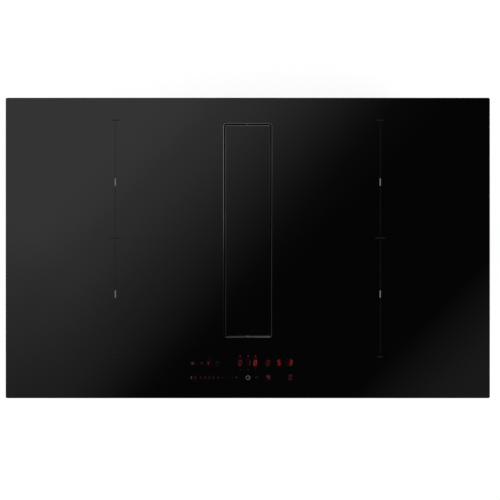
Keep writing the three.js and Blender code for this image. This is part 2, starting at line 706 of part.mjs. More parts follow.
// What is cut from the screw flanges to clear the outlet spigot.
function spigotNotch() {
  const left = ductX - DUCT_WIDTH / 2 - SPIGOT_FLANGE - FIT;
  return block(
    [left, airboxRight + AIRBOX_FLANGE + OVERCUT],
    [airboxBack, airboxBack + AIRBOX_FLANGE + OVERCUT],
    [AIRBOX_SPLIT - AIRBOX_FLANGE_THICKNESS - OVERCUT, coverBottom + AIRBOX_FLANGE_THICKNESS + OVERCUT],
  );
}

// Four posts on the base's floor that the scroll stands on, near its corners.
const scrollPosts = [
  [FAN_X - IMPELLER_RADIUS, fanY - IMPELLER_RADIUS * 0.62],
  [FAN_X + IMPELLER_RADIUS, fanY - IMPELLER_RADIUS * 0.62],
  [ductRight - 4 * SCROLL_POST_RADIUS, scrollBack - 4 * SCROLL_POST_RADIUS],
  [ductRight - ductInnerWidth + 6 * SCROLL_POST_RADIUS, scrollBack - 4 * SCROLL_POST_RADIUS],
];

function airboxBase() {
  const shell = prism(airboxOutline(), [0, AIRBOX_SPLIT]);
  const flangeLevels = [AIRBOX_SPLIT - AIRBOX_FLANGE_THICKNESS, AIRBOX_SPLIT];
  const flange = prism(airboxOutline(AIRBOX_FLANGE), flangeLevels);
  const hollow = prism(airboxOutline(-AIRBOX_WALL), [AIRBOX_FLOOR, AIRBOX_SPLIT + OVERCUT]);
  const recess = prism(airboxOutline(-AIRBOX_FOOT_BAND / 2), [-OVERCUT, AIRBOX_RECESS]);
  const tub = cut(join(shell, flange), hollow, recess, spigotNotch());
  const ribWidth = ledgeWidth - 2 * DRIP_ROOM + 2 * FIT;
  const ribLength = ledgeLength - 2 * DRIP_ROOM + 2 * FIT;
  const ribLevels = [AIRBOX_FLOOR - AIRBOX_RECESS / 2, AIRBOX_FLOOR + DRIP_RIB_HEIGHT];
  const ribRing = cut(
    pad(0, ventY, ribWidth + 2 * RIB_THICKNESS, ribLength + 2 * RIB_THICKNESS, ribLevels),
    pad(0, ventY, ribWidth, ribLength, [AIRBOX_FLOOR, AIRBOX_FLOOR + DRIP_HEIGHT]),
  );
  const posts = scrollPosts.map(([x, y]) => {
    const levels = [AIRBOX_FLOOR - AIRBOX_RECESS / 2, SCROLL_FLOOR_Z - FIT];
    return rod(SCROLL_POST_RADIUS, levels, x, y, 12);
  });
  return piece("airbox_base", join(tub, ribRing, ...posts), blackPlastic);
}

function airboxCover() {
  const shell = prism(airboxOutline(), [coverBottom, AIRBOX_HEIGHT]);
  const flangeLevels = [coverBottom, coverBottom + AIRBOX_FLANGE_THICKNESS];
  const flange = prism(airboxOutline(AIRBOX_FLANGE), flangeLevels);
  const hollow = prism(airboxOutline(-AIRBOX_WALL), [coverBottom - OVERCUT, coverRoof]);
  const inletOutline = roundedOutline(
    collarOuterWidth + 2 * FIT,
    collarOuterLength + 2 * FIT,
    collarOuterCorner + FIT,
    0,
    ventY,
  );
  const inlet = prism(inletOutline, [coverRoof - OVERCUT, AIRBOX_HEIGHT + OVERCUT]);
  const outlet = block(
    [ductRight - ductInnerWidth, ductRight],
    [airboxBack - AIRBOX_WALL - OVERCUT, airboxBack + OVERCUT],
    [ductFloor, ductFloor + ductInnerHeight],
  );
  const geometry = cut(join(shell, flange), hollow, inlet, outlet, spigotNotch());
  return piece("airbox_cover", geometry, blackPlastic);
}

// The scroll's inner radius, growing steadily from the tongue round to the outlet.
function scrollRadius(degrees) {
  const share = (degrees - TONGUE_ANGLE) / (360 - TONGUE_ANGLE);
  return IMPELLER_RADIUS + SCROLL_START + share * (SCROLL_END - SCROLL_START);
}

function scrollPoint(degrees, grow = 0) {
  const angle = THREE.MathUtils.degToRad(degrees);
  const radius = scrollRadius(degrees) + grow;
  return [FAN_X + radius * Math.cos(angle), fanY + radius * Math.sin(angle)];
}

function fanScroll() {
  const steps = 24;
  const angles = evenly(steps + 1, (i) => TONGUE_ANGLE + ((360 - TONGUE_ANGLE) * i) / steps);
  const inner = angles.map((a) => scrollPoint(a));
  const outer = angles.map((a) => scrollPoint(a, SCROLL_WALL));
  const ductLeft = ductRight - ductInnerWidth;
  const floorLevels = [SCROLL_FLOOR_Z, scrollFloorTop];
  const wallLevels = [SCROLL_FLOOR_Z, scrollTop];
  const chamber = polygon([...inner, [ductRight, scrollBack], [ductLeft, scrollBack]]);
  const floor = prism(chamber, floorLevels);
  const volute = prism(polygon([...inner, ...outer.toReversed()]), wallLevels);
  const rightWall = block([ductRight, ductRight + SCROLL_WALL], [fanY, scrollBack], wallLevels);
  const [tongueX, tongueY] = scrollPoint(TONGUE_ANGLE, SCROLL_WALL / 2);
  const leftWall = prism(
    polygon([
      [tongueX, tongueY],
      [ductLeft, scrollBack],
      [ductLeft - SCROLL_WALL, scrollBack],
      [tongueX - SCROLL_WALL, tongueY],
    ]),
    wallLevels,
  );
  const tongue = rod(SCROLL_WALL, wallLevels, tongueX, tongueY, 12);
  const lipRadius = IMPELLER_RADIUS - BLADE_DEPTH - BELLMOUTH_ROOM;
  const lip = turning([
    [lipRadius - SCROLL_WALL, scrollFloorTop + BELLMOUTH_RISE],
    [lipRadius - SCROLL_WALL, scrollFloorTop],
    [lipRadius, SCROLL_FLOOR_Z],
    [lipRadius + SCROLL_WALL, SCROLL_FLOOR_Z],
    [lipRadius + SCROLL_WALL, scrollFloorTop],
    [lipRadius, scrollFloorTop + BELLMOUTH_RISE],
  ]).translate(FAN_X, fanY, 0);
  const eye = rod(lipRadius, [SCROLL_FLOOR_Z - OVERCUT, scrollFloorTop + OVERCUT], FAN_X, fanY, 36);
  const pan = cut(join(floor, volute, rightWall, leftWall, tongue), eye);
  return piece("fan_scroll", join(pan, lip), blackPlastic);
}

function outletSpigot() {
  const flangeFront = airboxBack + FIT;
  const flangeBack = flangeFront + SPIGOT_FLANGE_THICKNESS;
  const tail = flangeBack + SPIGOT_LENGTH;
  const outlineOf = (grow, corner) =>
    roundedOutline(DUCT_WIDTH + 2 * grow, DUCT_HEIGHT + 2 * grow, corner, ductX, ductZ);
  // The outlines lie in the plane of the back wall, so each prism is raised along -Y and then placed.
  const stand = (geometry) => geometry.rotateX(Math.PI / 2).translate(0, tail, 0);
  const flange = stand(prism(outlineOf(SPIGOT_FLANGE, 8), [SPIGOT_LENGTH, tail - flangeFront]));
  const stub = stand(prism(outlineOf(0, 5), [0, tail - flangeFront]));
  const bore = stand(prism(outlineOf(-DUCT_WALL, 3), [-OVERCUT, tail - flangeFront + OVERCUT]));
  return piece("outlet_spigot", cut(join(flange, stub), bore), blackPlastic);
}

// ---------- Extractor fan, in a group whose origin is on the fan's axis ----------

function impellerBlade(i) {
  const angle = (2 * Math.PI * i) / BLADE_COUNT;
  const inner = IMPELLER_RADIUS - BLADE_DEPTH;
  const lean = [0, 0.06, 0.19]; // forward curve, in radians, from the inner to the outer edge
  const edge = (offset) =>
    lean.map((turn, k) => {
      const radius = inner + (BLADE_DEPTH * k) / (lean.length - 1);
      const at = angle + turn + offset / radius;
      return [radius * Math.cos(at), radius * Math.sin(at)];
    });
  const outline = polygon([...edge(0), ...edge(BLADE_THICKNESS).toReversed()]);
  return prism(outline, [impellerBottom + SHROUD_HEIGHT / 2, impellerTop - HUB_WALL / 2]);
}

function impeller() {
  const ring = turning([
    [IMPELLER_RADIUS - BLADE_DEPTH, impellerBottom],
    [IMPELLER_RADIUS + BLADE_THICKNESS, impellerBottom],
    [IMPELLER_RADIUS + BLADE_THICKNESS, impellerBottom + SHROUD_HEIGHT],
    [IMPELLER_RADIUS - BLADE_DEPTH, impellerBottom + SHROUD_HEIGHT],
  ]);
  const hubAndBackplate = turning([
    [SHAFT_RADIUS + FIT, hubFloor - BOSS_RADIUS],
    [BOSS_RADIUS, hubFloor - BOSS_RADIUS],
    [BOSS_RADIUS, hubFloor],
    [HUB_RADIUS, hubFloor],
    [HUB_RADIUS, impellerTop - HUB_WALL],
    [IMPELLER_RADIUS + BLADE_THICKNESS, impellerTop - HUB_WALL],
    [IMPELLER_RADIUS + BLADE_THICKNESS, impellerTop],
    [HUB_RADIUS - HUB_WALL, impellerTop],
    [HUB_RADIUS - HUB_WALL, hubFloor + HUB_WALL],
    [SHAFT_RADIUS + FIT, hubFloor + HUB_WALL],
  ]);
  return piece("impeller", join(hubAndBackplate, ring, ...evenly(BLADE_COUNT, impellerBlade)), greyPlastic);
}

function impellerShaft() {
  const shaft = rod(SHAFT_RADIUS, [hubFloor - BOSS_RADIUS, mountBottom - FIT], 0, 0, 16);
  return piece("impeller_shaft", shaft, stainless);
}

function fanMotor() {
  const body = turning([
    [SHAFT_RADIUS + FIT, motorBottom],
    [motorRadius * 0.5, motorBottom],
    [motorRadius, motorBottom + MOTOR_ROOM],
    [motorRadius, motorTop],
    [SHAFT_RADIUS + FIT, motorTop],
  ]);
  return piece("fan_motor", body, aluminium);
}

function motorMount() {
  const plate = rod(MOUNT_RADIUS, [mountBottom, coverRoof - FIT], 0, 0, 36);
  const openings = evenly(6, (i) => {
    const angle = (Math.PI * i) / 3;
    const radius = (motorRadius + MOUNT_RADIUS) / 2;
    const levels = [mountBottom - OVERCUT, coverRoof + OVERCUT];
    return rod(MOTOR_ROOM * 2, levels, radius * Math.cos(angle), radius * Math.sin(angle), 12);
  });
  return piece("motor_mount", cut(plate, ...openings), zincSteel);
}

function extractorFan() {
  const fan = assembly(impeller(), impellerShaft(), fanMotor(), motorMount());
  fan.position.set(FAN_X, fanY, 0);
  return fan;
}

// ---------- Induction casing ----------

function intakeSlots(x, y) {
  const count = 2 * Math.floor((COOLER_BORE - SLOT_WIDTH) / SLOT_PITCH) + 1;
  return evenly(count, (i) => {
    const offset = (i - (count - 1) / 2) * SLOT_PITCH;
    const length = 2 * Math.sqrt((COOLER_BORE - SLOT_WIDTH / 2) ** 2 - offset ** 2);
    return pad(x + offset, y, SLOT_WIDTH, length, [casingBottom - OVERCUT, casingFloor + OVERCUT]);
  });
}

function wallSlots(x, y) {
  const middle = (casingBottom + casingTop) / 2;
  const levels = [middle - WALL_SLOT_HEIGHT / 2, middle + WALL_SLOT_HEIGHT / 2];
  return evenly(WALL_SLOTS, (i) => {
    const offset = (i - (WALL_SLOTS - 1) / 2) * SLOT_PITCH;
    return pad(x + offset, y, SLOT_WIDTH, 2 * OVERCUT + SHEET, levels);
  });
}

function casingOutline(inset) {
  const corner = Math.max(CASING_CORNER - inset, 1);
  return roundedOutline(casingWidth - 2 * inset, casingDepth - 2 * inset, corner);
}

// The flat sheet that everything inside stands on.
function casingBasePlate() {
  const inletOutline = roundedOutline(
    collarOuterWidth + 2 * FIT,
    collarOuterLength + 2 * FIT,
    collarOuterCorner + FIT,
    0,
    ventY,
  );
  const inlet = prism(inletOutline, [casingBottom - OVERCUT, casingFloor + OVERCUT]);
  const sheet = prism(casingOutline(0), [casingBottom, casingFloor]);
  const slots = [...intakeSlots(coolerX, coolerY), ...intakeSlots(-coolerX, coolerY)];
  return piece("casing_floor", cut(sheet, inlet, ...slots), galvanised);
}

// A flat frame on top of the side walls, which the glass is glued to.
function glassRim() {
  const levels = [casingTop - SHEET, casingTop];
  const mouth = prism(casingOutline(GLASS_RIM_WIDTH), [levels[0] - OVERCUT, levels[1] + OVERCUT]);
  return piece("glass_rim", cut(prism(casingOutline(0), levels), mouth), galvanised);
}

// The folded band of side walls, between the floor and the rim.
function casingWalls() {
  const levels = [casingFloor + FIT, casingTop - SHEET - FIT];
  const shell = prism(casingOutline(0), levels);
  const hollow = prism(casingOutline(SHEET), [levels[0] - OVERCUT, levels[1] + OVERCUT]);
  const wallY = casingDepth / 2 - SHEET / 2;
  const screwHoles = [-1, 1].flatMap((side) => {
    const wall = [casingInnerX - OVERCUT, casingInnerX + SHEET + OVERCUT].map((x) => side * x);
    const along = [Math.min(...wall), Math.max(...wall)];
    return [-clampY, clampY].map((y) => rodAlongX(SCREW_RADIUS + FIT, along, y, clampScrewZ, 12));
  });
  const glandHole = rodAlongY(
    GLAND_NECK_RADIUS + FIT,
    [casingInnerY - OVERCUT, casingInnerY + SHEET + OVERCUT],
    terminalX,
    glandZ,
    16,
  );
  const louvres = [
    ...wallSlots(-wallSlotX, -wallY),
    ...wallSlots(wallSlotX, -wallY),
    ...wallSlots(wallSlotX, wallY),
  ];
  const band = cut(shell, hollow, glandHole, ...screwHoles, ...louvres);
  return piece("casing_walls", band, galvanised);
}

// ---------- Induction unit, in a group whose origin is the middle of its two zones ----------

function ringPlate(width, depth, corner, holeWidth, holeDepth, holeCorner, [z0, z1]) {
  return cut(
    prism(roundedOutline(width, depth, corner), [z0, z1]),
    prism(roundedOutline(holeWidth, holeDepth, holeCorner), [z0 - OVERCUT, z1 + OVERCUT]),
  );
}

function coilWinding(name) {
  const levels = [coilBottom, coilTop];
  const ring = ringPlate(
    COIL_WIDTH,
    coilDepth,
    COIL_CORNER,
    COIL_HOLE_WIDTH,
    COIL_HOLE_DEPTH,
    COIL_HOLE_CORNER,
    levels,
  );
  return piece(name, ring, copper);
}

// The moulded base under a winding: a disc, ferrite bars below it and a sensor post in the middle.
function coilBase(name) {
  const discLevels = [coilBaseTop - COIL_BASE_THICKNESS, coilBaseTop];
  const barLevels = [coilBaseBottom, coilBaseTop - COIL_BASE_THICKNESS / 2];
  const disc = prism(roundedOutline(COIL_WIDTH, coilDepth, COIL_CORNER), discLevels);
  const bars = evenly(FERRITE_BARS, (i) => {
    const angle = (2 * Math.PI * (i + 0.5)) / FERRITE_BARS;
    const [inner, outer] = [COIL_HOLE_DEPTH / 2, coilDepth / 2 - SUPPORT_MARGIN / 2];
    const bar = block([inner, outer], [-FERRITE_WIDTH / 2, FERRITE_WIDTH / 2], barLevels);
    return bar.rotateZ(angle);
  });
  const post = rod(SENSOR_RADIUS, [coilBaseBottom, insulationTop], 0, 0, 16);
  return piece(name, join(disc, ...bars, post), greyPlastic);
}

function insulationPad(name) {
  const levels = [insulationBottom, insulationTop];
  const length = zonePitch + coilDepth;
  const blanket = prism(roundedOutline(COIL_WIDTH, length, COIL_CORNER), levels);
  const holes = [-1, 1].map((end) => {
    const drill = [insulationBottom - OVERCUT, insulationTop + OVERCUT];
    return rod(SENSOR_RADIUS + FIT, drill, 0, (end * zonePitch) / 2, 16);
  });
  return piece(name, cut(blanket, ...holes), mica);
}

// A folded sheet that carries both coils on four legs.
function coilSupport(name) {
  const plate = pad(0, 0, supportWidth, supportLength, [supportBottom, supportTop]);
  const legs = [-1, 1].flatMap((end) => {
    const outer = (end * supportLength) / 2;
    const fold = outer - end * SUPPORT_THICKNESS;
    const toe = outer - end * SUPPORT_FOOT;
    const span = (a, b) => [Math.min(a, b), Math.max(a, b)];
    return [-1, 1].flatMap((side) => {
      const x = side * (end > 0 ? REAR_LEG_X : FRONT_LEG_X);
      const half = SUPPORT_FOOT / 2;
      const legLevels = [casingFloor + FIT, supportTop];
      const toeLevels = [casingFloor + FIT, casingFloor + FIT + SUPPORT_THICKNESS];
      return [
        block([x - half, x + half], span(outer, fold), legLevels),
        block([x - half, x + half], span(outer, toe), toeLevels),
      ];
    });
  });
  return piece(name, join(plate, ...legs), aluminium);
}

function inductionUnit(side, label) {
  const zone = (row, label2) => {
    const coil = assembly(coilWinding("coil_" + label2), coilBase("coil_base_" + label2));
    coil.position.set(0, (row * zonePitch) / 2, 0);
    return coil;
  };
  const unit = assembly(
    zone(1, label + "_rear"),
    zone(-1, label + "_front"),
    insulationPad("insulation_" + label),
    coilSupport("coil_support_" + label),
  );
  unit.position.set(side * unitX, unitY, 0);
  return unit;
}

// ---------- Power electronics, in a group whose origin is the middle of the board ----------

// Short round feet near a board's corners, from the casing's floor into the board.
function boardFeet(width, depth, inset) {
  const levels = [casingFloor + FIT, boardBottom + BOARD_THICKNESS / 2];
  return [-1, 1].flatMap((sx) =>
    [-1, 1].map((sy) => {
      const [x, y] = [sx * (width / 2 - inset), sy * (depth / 2 - inset)];
      return rod(BOARD_FOOT_RADIUS, levels, x, y, 8);
    }),
  );
}

function onBoard(height) {
  return [boardBottom + BOARD_THICKNESS / 2, boardTop + height];
}

function powerBoard(name) {
  const board = pad(0, 0, boardWidth, boardDepth, [boardBottom, boardTop]);
  const outerRow = boardWidth / 2 - PARTS_MARGIN;
  const capacitors = evenly(CAPACITORS, (i) => {
    const y = -boardDepth / 2 + PARTS_MARGIN + CAPACITOR_PITCH * i;
    return pad(outerRow, y, CAPACITOR_WIDTH, CAPACITOR_DEPTH, onBoard(CAPACITOR_HEIGHT));
  });
  const chokes = evenly(2, (i) => {
    const y = boardDepth / 2 - PARTS_MARGIN - CHOKE_PITCH * i;
    return rod(CHOKE_RADIUS, onBoard(CHOKE_HEIGHT), outerRow, y, 16);
  });
  const relays = evenly(RELAYS, (i) => {
    const x = -outerRow + RELAY_PITCH * i;
    return pad(x, boardDepth / 2 - RELAY_DEPTH, RELAY_WIDTH, RELAY_DEPTH, onBoard(RELAY_HEIGHT));
  });
  const driver = pad(-outerRow, -PARTS_MARGIN, DRIVER_WIDTH, DRIVER_DEPTH, onBoard(DRIVER_HEIGHT));
  const feet = boardFeet(boardWidth, boardDepth, BOARD_FOOT_INSET);
  return piece(name, join(board, ...feet, ...capacitors, ...chokes, ...relays, driver), circuitBoard);
}

function heatSink(name) {
  const bottom = boardTop + FIT;
  const base = pad(0, 0, HEAT_SINK_WIDTH, HEAT_SINK_LENGTH, [bottom, bottom + HEAT_SINK_BASE]);
  const pitch = (HEAT_SINK_WIDTH - FIN_THICKNESS) / (HEAT_SINK_FINS - 1);
  const fins = evenly(HEAT_SINK_FINS, (i) => {
    const x = -HEAT_SINK_WIDTH / 2 + FIN_THICKNESS / 2 + pitch * i;
    return pad(x, 0, FIN_THICKNESS, HEAT_SINK_LENGTH, [bottom, bottom + HEAT_SINK_HEIGHT]);
  });
  const sink = piece(name, join(base, ...fins), aluminium);
  sink.position.x = -HEAT_SINK_OFFSET;
  return sink;
}

function powerUnit(side, label) {
  const unit = assembly(powerBoard("power_board_" + label), heatSink("heat_sink_" + label));
  unit.position.set(side * boardX, boardY, 0);
  unit.rotation.z = side > 0 ? 0 : Math.PI;
  return unit;
}

// A cooling fan that draws air through the casing's floor, in a group on its own axis.
function coolingFan(side, label) {
  const bottom = casingFloor + FIT;
  const top = bottom + COOLER_HEIGHT;
  const half = COOLER_SIZE / 2;
  const box = prism(roundedOutline(COOLER_SIZE, COOLER_SIZE, 5), [bottom, top]);
  const bore = rod(COOLER_BORE, [bottom - OVERCUT, top - COOLER_CAP], 0, 0, 24);
  const outlet = evenly(3, (i) => {
    const from = (2 * Math.PI * i) / 3 + 0.12;
    const to = (2 * Math.PI * (i + 1)) / 3 - 0.12;
    const sector = new THREE.Shape();
    sector.absarc(0, 0, COOLER_BORE, from, to);
    sector.absarc(0, 0, COOLER_HUB, to, from, true);
    return prism(sector, [top - COOLER_CAP - OVERCUT, top + OVERCUT], 0, 5);
  });
  const screwHoles = [-1, 1].flatMap((sx) =>
    [-1, 1].map((sy) => rod(2.2, [bottom - OVERCUT, top + OVERCUT], sx * (half - 5), sy * (half - 5), 8)),
  );
  const frame = piece(
    "cooling_fan_frame_" + label,
    cut(box, bore, ...outlet, ...screwHoles),
    blackPlastic,
  );
  const rotorLevels = [bottom + COOLER_CAP, top - COOLER_CAP - FIT];
  const sweep = COOLER_BORE - 1;
  const hub = rod(COOLER_HUB, rotorLevels, 0, 0, 20);
  const blades = evenly(COOLER_BLADES, (i) => {
    const chord = rotorLevels[1] - rotorLevels[0];
    const blade = block([COOLER_HUB - 2, sweep + 4], [-0.8, 0.8], [-chord, chord]);
    blade.rotateX(0.85).translate(0, 0, (rotorLevels[0] + rotorLevels[1]) / 2);
    return blade.rotateZ((2 * Math.PI * i) / COOLER_BLADES);
  });
  const envelope = rod(sweep, rotorLevels, 0, 0, 24);
  const rotor = piece(
    "cooling_fan_rotor_" + label,
    overlap(join(hub, ...blades), envelope),
    greyPlastic,
  );
  const fan = assembly(frame, rotor);
  fan.position.set(side * coolerX, coolerY, 0);
  return fan;
}

// ---------- Controls and mains side ----------

function touchControls() {
  const displayTop = glassBottom - FIT;
  const top = displayTop - DISPLAY_HEIGHT - FIT;
  const bottom = top - BOARD_THICKNESS;
  const [halfWidth, halfDepth] = [TOUCH_WIDTH / 2, TOUCH_DEPTH / 2];
  const board = pad(0, 0, TOUCH_WIDTH, TOUCH_DEPTH, [bottom, top]);
  const touchPads = evenly(TOUCH_PADS, (i) => {
    const x = -halfWidth + TOUCH_PAD_INSET + i * TOUCH_PAD_PITCH;
    const levels = [bottom + BOARD_THICKNESS / 2, displayTop];
    return rod(TOUCH_PAD_RADIUS, levels, x, -halfDepth + TOUCH_PAD_ROW, 8);
  });
  const connectorX = halfWidth - CONNECTOR_INSET;
  const connectorLevels = [bottom - CONNECTOR_HEIGHT, bottom + BOARD_THICKNESS / 2];
  const connector = pad(connectorX, 0, CONNECTOR_WIDTH, CONNECTOR_DEPTH, connectorLevels);
  const displayX = halfWidth - DISPLAY_INSET - DISPLAY_WIDTH / 2;
  const displayY = halfDepth - DISPLAY_DEPTH / 2 - CARRIER_BORDER;
  const display = pad(displayX, displayY, DISPLAY_WIDTH, DISPLAY_DEPTH, [top + FIT, displayTop]);
  const trayTop = bottom - FIT;
  const trayBottom = trayTop - CARRIER_THICKNESS;
  const trayWidth = TOUCH_WIDTH + 2 * CARRIER_BORDER;
  const tray = pad(0, 0, trayWidth, TOUCH_DEPTH + 2 * CARRIER_BORDER, [trayBottom, trayTop]);
  const legs = [-1, 1].flatMap((sx) =>
    [-1, 1].map((sy) => {
      const x = sx * (halfWidth - CARRIER_LEG_INSET);
      const y = sy * (halfDepth - CARRIER_LEG_INSET);
      return rod(CARRIER_LEG_RADIUS, [casingFloor + FIT, trayTop - CARRIER_THICKNESS / 2], x, y, 10);
    }),
  );
  const gate = pad(
    connectorX,
    0,
    CONNECTOR_WIDTH + 2 * CARRIER_BORDER,
    CONNECTOR_DEPTH + 2 * CARRIER_BORDER,
    [trayBottom - OVERCUT, trayTop + OVERCUT],
  );
  const controls = assembly(
    piece("touch_board", join(board, ...touchPads, connector), circuitBoard),
    piece("display_module", display, greyPlastic),
    piece("touch_carrier", cut(join(tray, ...legs), gate), blackPlastic),
  );
  controls.position.set(TOUCH_X, touchY, 0);
  return controls;
}

function filterBoard() {
  const board = pad(0, 0, FILTER_BOARD_WIDTH, FILTER_BOARD_DEPTH, [boardBottom, boardTop]);
  const choke = rod(FILTER_CHOKE_RADIUS, onBoard(FILTER_PARTS_HEIGHT), FILTER_CHOKE_X, 0, 18);
  const capacitors = evenly(3, (i) => {
    const levels = onBoard(FILTER_PARTS_HEIGHT);
    const x = FILTER_CAPACITOR_PITCH * i;
    return pad(x, 0, FILTER_CAPACITOR_WIDTH, FILTER_CAPACITOR_DEPTH, levels);
  });
  const feet = boardFeet(FILTER_BOARD_WIDTH, FILTER_BOARD_DEPTH, BOARD_FOOT_INSET);
  const mesh = piece("filter_board", join(board, choke, ...capacitors, ...feet), circuitBoard);
  mesh.position.set(filterBoardX, filterBoardY, 0);
  return mesh;
}

function terminalBlock() {
  const bottom = casingFloor + FIT;
  const top = bottom + TERMINAL_HEIGHT;
  const body = pad(0, 0, terminalLength, TERMINAL_DEPTH, [bottom, top]);
  const wells = evenly(TERMINAL_WAYS, (i) => {
    const x = (i - (TERMINAL_WAYS - 1) / 2) * TERMINAL_PITCH;
    const width = TERMINAL_PITCH - 2 * TERMINAL_WALL;
    return pad(x, 0, width, TERMINAL_DEPTH / 2, [top - TERMINAL_WELL_DEPTH, top + OVERCUT]);
  });
  const mesh = piece("terminal_block", cut(body, ...wells), greyPlastic);
  mesh.position.set(terminalX, terminalY, 0);
  return mesh;
}

// A screwed-on lid under the casing's floor, below the terminals.
function terminalCover() {
  const top = casingBottom - FIT;
  const outline = roundedOutline(COVER_WIDTH, COVER_DEPTH, COVER_CORNER);
  const lid = prism(outline, [top - COVER_HEIGHT, top], COVER_BEVEL);
  const mesh = piece("terminal_cover", lid, blackPlastic);
  mesh.position.set(terminalX, terminalY, 0);
  return mesh;
}

// The mains cable's gland: a locknut inside the wall, a threaded neck and a domed nut outside.
function cableGland() {
  const outside = casingInnerY + SHEET + FIT;
  const inside = casingInnerY - FIT;
  const end = outside + GLAND_LENGTH;
  const neck = rodAlongY(GLAND_NECK_RADIUS, [inside - GLAND_INSIDE, outside + OVERCUT], 0, 0, 16);
  const nut = rodAlongY(GLAND_RADIUS, [outside, outside + GLAND_NUT_LENGTH], 0, 0, 6);
  const dome = rodAlongY(GLAND_DOME_RADIUS, [outside, end], 0, 0, 16);
  const locknut = rodAlongY(GLAND_RADIUS, [inside - LOCKNUT_THICKNESS, inside], 0, 0, 6);
  const bore = rodAlongY(GLAND_BORE, [inside - GLAND_INSIDE - OVERCUT, end + OVERCUT], 0, 0, 16);
  const mesh = piece("cable_gland", cut(join(neck, nut, dome, locknut), bore), blackPlastic);
  mesh.position.set(terminalX, 0, glandZ);
  return mesh;
}

// ---------- Worktop clamps, in groups whose origin is on the casing's wall ----------

function worktopClamp(number) {
  const face = FIT + CLAMP_SHEET;
  const halfWidth = CLAMP_WIDTH / 2;
  const top = clampTop - clampScrewZ;
  const bottom = top - CLAMP_LENGTH;
  const slotTop = top - CLAMP_SHEET - SCREW_HEAD_RADIUS;
  const plate = block([FIT, face], [-halfWidth, halfWidth], [bottom, top]);
  const toe = block([FIT, FIT + CLAMP_TOE], [-halfWidth, halfWidth], [top - CLAMP_SHEET, top]);
  const slot = block(
    [FIT - OVERCUT, face + OVERCUT],
    [-CLAMP_SLOT / 2, CLAMP_SLOT / 2],
    [slotTop - CLAMP_SLOT_LENGTH, slotTop],
  );
  return piece("worktop_clamp_" + number, cut(join(plate, toe), slot), zincSteel);
}

function clampScrew(number) {
  const underHead = 2 * FIT + CLAMP_SHEET;
  const shank = rodAlongX(SCREW_RADIUS, [-SHEET - SCREW_REACH, underHead + 1], 0, 0, 12);
  const head = rodAlongX(SCREW_HEAD_RADIUS, [underHead, underHead + SCREW_HEAD_HEIGHT], 0, 0, 16);
  const drive = rodAlongX(
    SCREW_RADIUS * 0.8,
    [underHead + SCREW_HEAD_HEIGHT / 2, underHead + SCREW_HEAD_HEIGHT + OVERCUT],
    0,
    0,
    6,
  );
  return piece("clamp_screw_" + number, cut(join(shank, head), drive), zincSteel);
}

function clampStation(number, side, y) {
  const station = assembly(worktopClamp(number), clampScrew(number));
  station.position.set((side * casingWidth) / 2, y, clampScrewZ);
  station.rotation.z = side > 0 ? 0 : Math.PI;
  return station;
}

// ---------- The whole cooktop ----------

const cooktop = assembly(
  glassPlate(),
  worktopSeal(),
  flapGlass(),
  flapBackplate(),
  flapPin("flap_pin_front", -1),
  flapPin("flap_pin_rear", 1),
  flapBearing("flap_bearing_front", -1),
  flapBearing("flap_bearing_rear", 1),
  inletCollar(),
  filterFrame(),
  filterMesh("filter_mesh_left", -1),
  filterMesh("filter_mesh_right", 1),
  filterHandle(),
  dripTray(),
  airboxBase(),
  airboxCover(),
  fanScroll(),
  outletSpigot(),
  extractorFan(),
  casingBasePlate(),
  casingWalls(),
  glassRim(),
  inductionUnit(-1, "left"),
  inductionUnit(1, "right"),
  powerUnit(-1, "left"),
  powerUnit(1, "right"),
  coolingFan(-1, "left"),
  coolingFan(1, "right"),
  touchControls(),
  filterBoard(),
  terminalBlock(),
  terminalCover(),
  cableGland(),
  clampStation(1, -1, -clampY),
  clampStation(2, -1, clampY),
  clampStation(3, 1, -clampY),
  clampStation(4, 1, clampY),
);

export default cooktop;
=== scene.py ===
# %% [markdown]
# # A downdraft induction cooktop, dressed in Blender
#
# The real thing is one black glass-ceramic plate, 830 x 515 mm, with a long glass flap in its
# middle. Cooking fumes are drawn down past the flap, through a grease filter, by a fan in a
# plastic air box that hangs under the hob. The CAD model holds every solid of it already.
# Blender's job here is the finish of each surface, plus what is too thin or too small for the
# solids: the print, the lights behind the glass, wire, expanded metal, screws and ribs.
#
# One could rebuild everything in Blender, but then nothing would be sure to fit. Loading the
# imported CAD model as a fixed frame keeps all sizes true, so each new piece is placed by it.

# %% Load the CAD frame
import json
import math
import random

import bpy
from mathutils import Matrix, Vector


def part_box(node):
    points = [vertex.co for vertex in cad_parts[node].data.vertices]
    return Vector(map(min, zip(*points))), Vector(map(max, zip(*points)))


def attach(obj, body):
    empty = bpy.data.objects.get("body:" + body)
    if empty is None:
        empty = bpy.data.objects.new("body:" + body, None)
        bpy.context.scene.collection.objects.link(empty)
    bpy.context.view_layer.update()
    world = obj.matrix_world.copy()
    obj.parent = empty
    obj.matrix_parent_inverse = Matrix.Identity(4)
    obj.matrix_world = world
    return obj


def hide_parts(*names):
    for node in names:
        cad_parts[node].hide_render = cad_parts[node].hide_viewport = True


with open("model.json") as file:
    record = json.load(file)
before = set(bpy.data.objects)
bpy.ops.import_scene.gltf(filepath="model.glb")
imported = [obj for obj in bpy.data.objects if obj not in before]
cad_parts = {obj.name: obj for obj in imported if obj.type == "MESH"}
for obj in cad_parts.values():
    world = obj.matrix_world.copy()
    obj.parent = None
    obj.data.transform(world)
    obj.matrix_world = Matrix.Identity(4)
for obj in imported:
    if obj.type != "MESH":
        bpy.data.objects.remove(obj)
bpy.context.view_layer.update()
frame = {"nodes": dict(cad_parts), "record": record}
nodes = frame["nodes"]
MM = 0.001
GLASS_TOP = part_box("glass_top")[1].z
print(len(nodes), "CAD nodes; the glass is at", round(GLASS_TOP / MM, 1), "mm")

